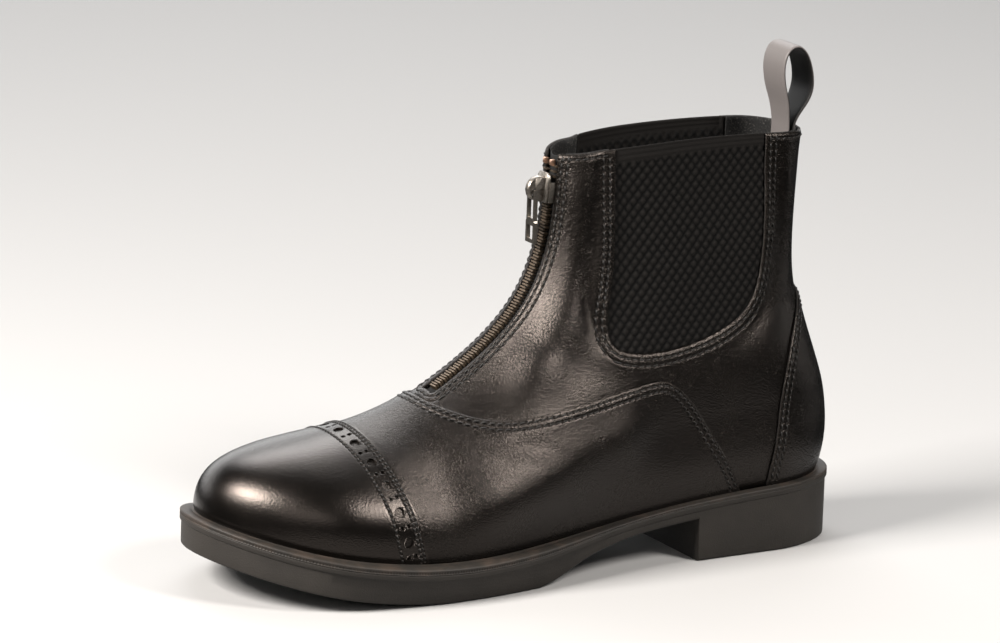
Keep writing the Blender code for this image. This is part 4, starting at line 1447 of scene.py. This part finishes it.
dent(rubber_shader, pebble * 0.12 + ribs.between(0.35, 0.6) * downward * 1.2)
sole = piece("sole_moulding", np.concatenate(sole_rings), sole_faces, rubber, "sole", ("outsole",))
sole.data.set_sharp_from_angle(angle=SOLE_SHARP)
print("sole", len(sole_faces), "faces")

# %% [markdown]
# ## Welt
# The welt is a narrow strip sewn round the foot of the upper, with a row of fine wheel marks pressed along
# its outer edge. One section with a groove on top is swept round the foot's outline, and the marks are a
# small wave in how far that section reaches, so they are real relief.

# %% Welt

WHEEL_STEP = 1.15
WHEEL_DEPTH = 0.32
WELT_POINTS = 2400
MARK_START = (66, 80)
# How far out, how far up, and how deep the wheel marks press
WELT_SECTION = (
    (0.0, 0.03, 0), (0.0, 0.7, 0), (0.03, 0.9, 0), (0.1, 1.0, 0), (0.22, 0.99, 0), (0.28, 0.84, 0),
    (0.35, 0.9, 0), (0.6, 0.86, 0), (0.86, 0.77, 0), (0.95, 0.7, 0), (0.99, 0.6, 0), (1.0, 0.46, 0),
    (0.99, 0.36, 0.4), (0.985, 0.26, 1), (0.985, 0.14, 1), (1.0, 0.08, 0.2), (1.0, 0.03, 0),
)
WELT_DARK, WELT_LIGHT = rgb(0.01, 0.0085, 0.007), rgb(0.022, 0.016, 0.012)
welt_foot = even(np.concatenate([FOOT, FOOT[:1]]), WELT_POINTS + 1)[:-1]
welt_out = plan_outward(welt_foot)
welt_wide = sole_margin(welt_foot[:, 0])
welt_run = np.r_[0, np.cumsum(np.linalg.norm(np.diff(welt_foot, axis=0), axis=1))]
mark = (0.5 + 0.5 * np.cos(2 * np.pi * welt_run / WHEEL_STEP)) * ease(*MARK_START, welt_foot[:, 0])
welt_sections = []
for share, level, pressed in WELT_SECTION:
    reach = GAP + share * (welt_wide - GAP) - WHEEL_DEPTH * pressed * mark
    place = welt_foot + welt_out * reach[:, None]
    welt_sections.append(np.c_[place, sole_top(place[:, 0]) + level * welt_height(place[:, 0])])
welt_rings = np.concatenate(welt_sections)
welt_faces = [face[::-1] for face in hoop_faces(len(welt_sections), WELT_POINTS)]
welt_strip, welt_shader, welt_start = finish("welt strip", WELT_DARK, 0.6, specular_ior_level=0.25)
welt_where = place_mm(welt_start)
welt_patch = noise(welt_start, welt_where, 0.12, 4.0).between(0.4, 0.7)
connect(welt_shader, "Base Color", welt_patch.mix(WELT_DARK, WELT_LIGHT))
dent(welt_shader, noise(welt_start, welt_where, 1.6) * 0.12)
piece("welt_strip", welt_rings, welt_faces, welt_strip, "welt", ("welt",))
print("welt", len(welt_faces), "faces")

# %% [markdown]
# ## Sock
# The insole is a flat pad at the bottom of the hollow. Only a sliver shows from above, so the solid stays
# and gets a matt cloth finish.

# %% Sock
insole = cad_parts["insole"]
insole.data.materials.clear()
insole.data.materials.append(sock_cloth)
print("insole keeps its solid")

# %% [markdown]
# ## Floor
# The boot stands on a plain pale floor. Black leather mirrors what is round it, and a wide bright floor
# would turn it grey. So the floor has two parts that look the same: the near one is mirrored as usual, and
# the far one is kept out of mirrored rays, as a studio is kept dark beyond the table.

# %% Floor

FLOOR_REACH, NEAR_REACH = 6.0, 0.21
FLOOR_DROP = 0.00002
floor_paint, _, _ = finish("pale floor", rgb(0.26, 0.26, 0.26), 0.9, specular_ior_level=0.0)


def lay_floor(name, reach, height):
    """A square of the pale floor round the boot."""
    mesh = bpy.data.meshes.new(name)
    corners = [(x * reach, y * reach, height) for x, y in ((-1, -1), (1, -1), (1, 1), (-1, 1))]
    mesh.from_pydata(corners, [], [(0, 1, 2, 3)])
    mesh.materials.append(floor_paint)
    ground = bpy.data.objects.new(name, mesh)
    bpy.context.scene.collection.objects.link(ground)
    return ground


lay_floor("floor near the boot", NEAR_REACH, 0.0)
far_floor = lay_floor("floor", FLOOR_REACH, -FLOOR_DROP)
far_floor.visible_glossy = False
print("floor", 2 * FLOOR_REACH, "m across")

# %% [markdown]
# ## Light and camera
# Leather lives on reflections. A softbox on the toe side draws the bright patch on the cap and the streak
# beside the zip, and one on the outer side lights the vamp. Weaker ones fill the shaft, edge the heel and
# wash the floor behind. The camera keeps the photograph's angle: a long lens from the outer side, a little
# above, rolled a little.

# %% Light and camera

CAMERA_AT = np.array([1301.78, 2012.26, 680.91])
AIM = np.array([142.13, -6.21, 96.68])
ROLL_DEG = 2.0
LENS, SENSOR = 218.6, 36
WORLD_GLOW = 0.04
WARM, WHITE = (1.0, 0.95, 0.9), (1, 1, 1)


def back_of(azimuth, elevation):
    """Unit vector from the boot to a viewer or light at this azimuth and elevation."""
    a, e = np.radians(azimuth), np.radians(elevation)
    return Vector((np.sin(a) * np.cos(e), -np.cos(a) * np.cos(e), np.sin(e)))


middle = Vector((AIM - ORIGIN) * MM)


def soft_light(name, azimuth, elevation, distance, size, glow, tint=WARM):
    """A rectangle of light that faces the boot; glow is how bright its face is."""
    data = bpy.data.lights.new(name, "AREA")
    data.shape = "RECTANGLE"
    data.size, data.size_y = size
    data.energy = glow * np.pi * size[0] * size[1]
    data.color = tint
    lamp = bpy.data.objects.new(name, data)
    lamp.location = middle + back_of(azimuth, elevation) * distance
    lamp.rotation_euler = back_of(azimuth, elevation).to_track_quat("Z", "Y").to_euler()
    lamp.visible_camera = False
    bpy.context.scene.collection.objects.link(lamp)


soft_light("toe softbox", 93, 36, 1.3, (0.52, 0.44), 96)
soft_light("side softbox", 211, 40, 1.5, (0.36, 0.44), 74)
soft_light("rear softbox", 339, 46, 2.0, (1.4, 1.0), 7, WHITE)
soft_light("front fill", 140, 26, 2.4, (1.6, 1.1), 2.6)
soft_light("heel softbox", 262, 5, 1.6, (0.3, 0.34), 4.5)
soft_light("floor wash", 327, 62, 1.9, (1.6, 1.2), 2.4, WHITE)
soft_light("back wall", 355, 13, 3.0, (6.5, 1.3), 2.2, WHITE)

world = bpy.data.worlds.new("studio")
bpy.context.scene.world = world
world.use_nodes = True
world.node_tree.nodes["Background"].inputs["Color"].default_value = rgb(1, 1, 1)
world.node_tree.nodes["Background"].inputs["Strength"].default_value = WORLD_GLOW
bpy.context.scene.view_settings.view_transform = "Standard"

lens = bpy.data.cameras.new("camera")
lens.lens = LENS
lens.sensor_width = SENSOR
lens.clip_start, lens.clip_end = 0.05, 50
camera = bpy.data.objects.new("camera", lens)
camera.location = Vector((CAMERA_AT - ORIGIN) * MM)
look = (camera.location - middle).to_track_quat("Z", "Y").to_matrix()
camera.rotation_euler = (look @ Matrix.Rotation(np.radians(ROLL_DEG), 3, "Z")).to_euler()
bpy.context.scene.collection.objects.link(camera)
bpy.context.scene.camera = camera
print("camera at", [round(v, 3) for v in camera.location])
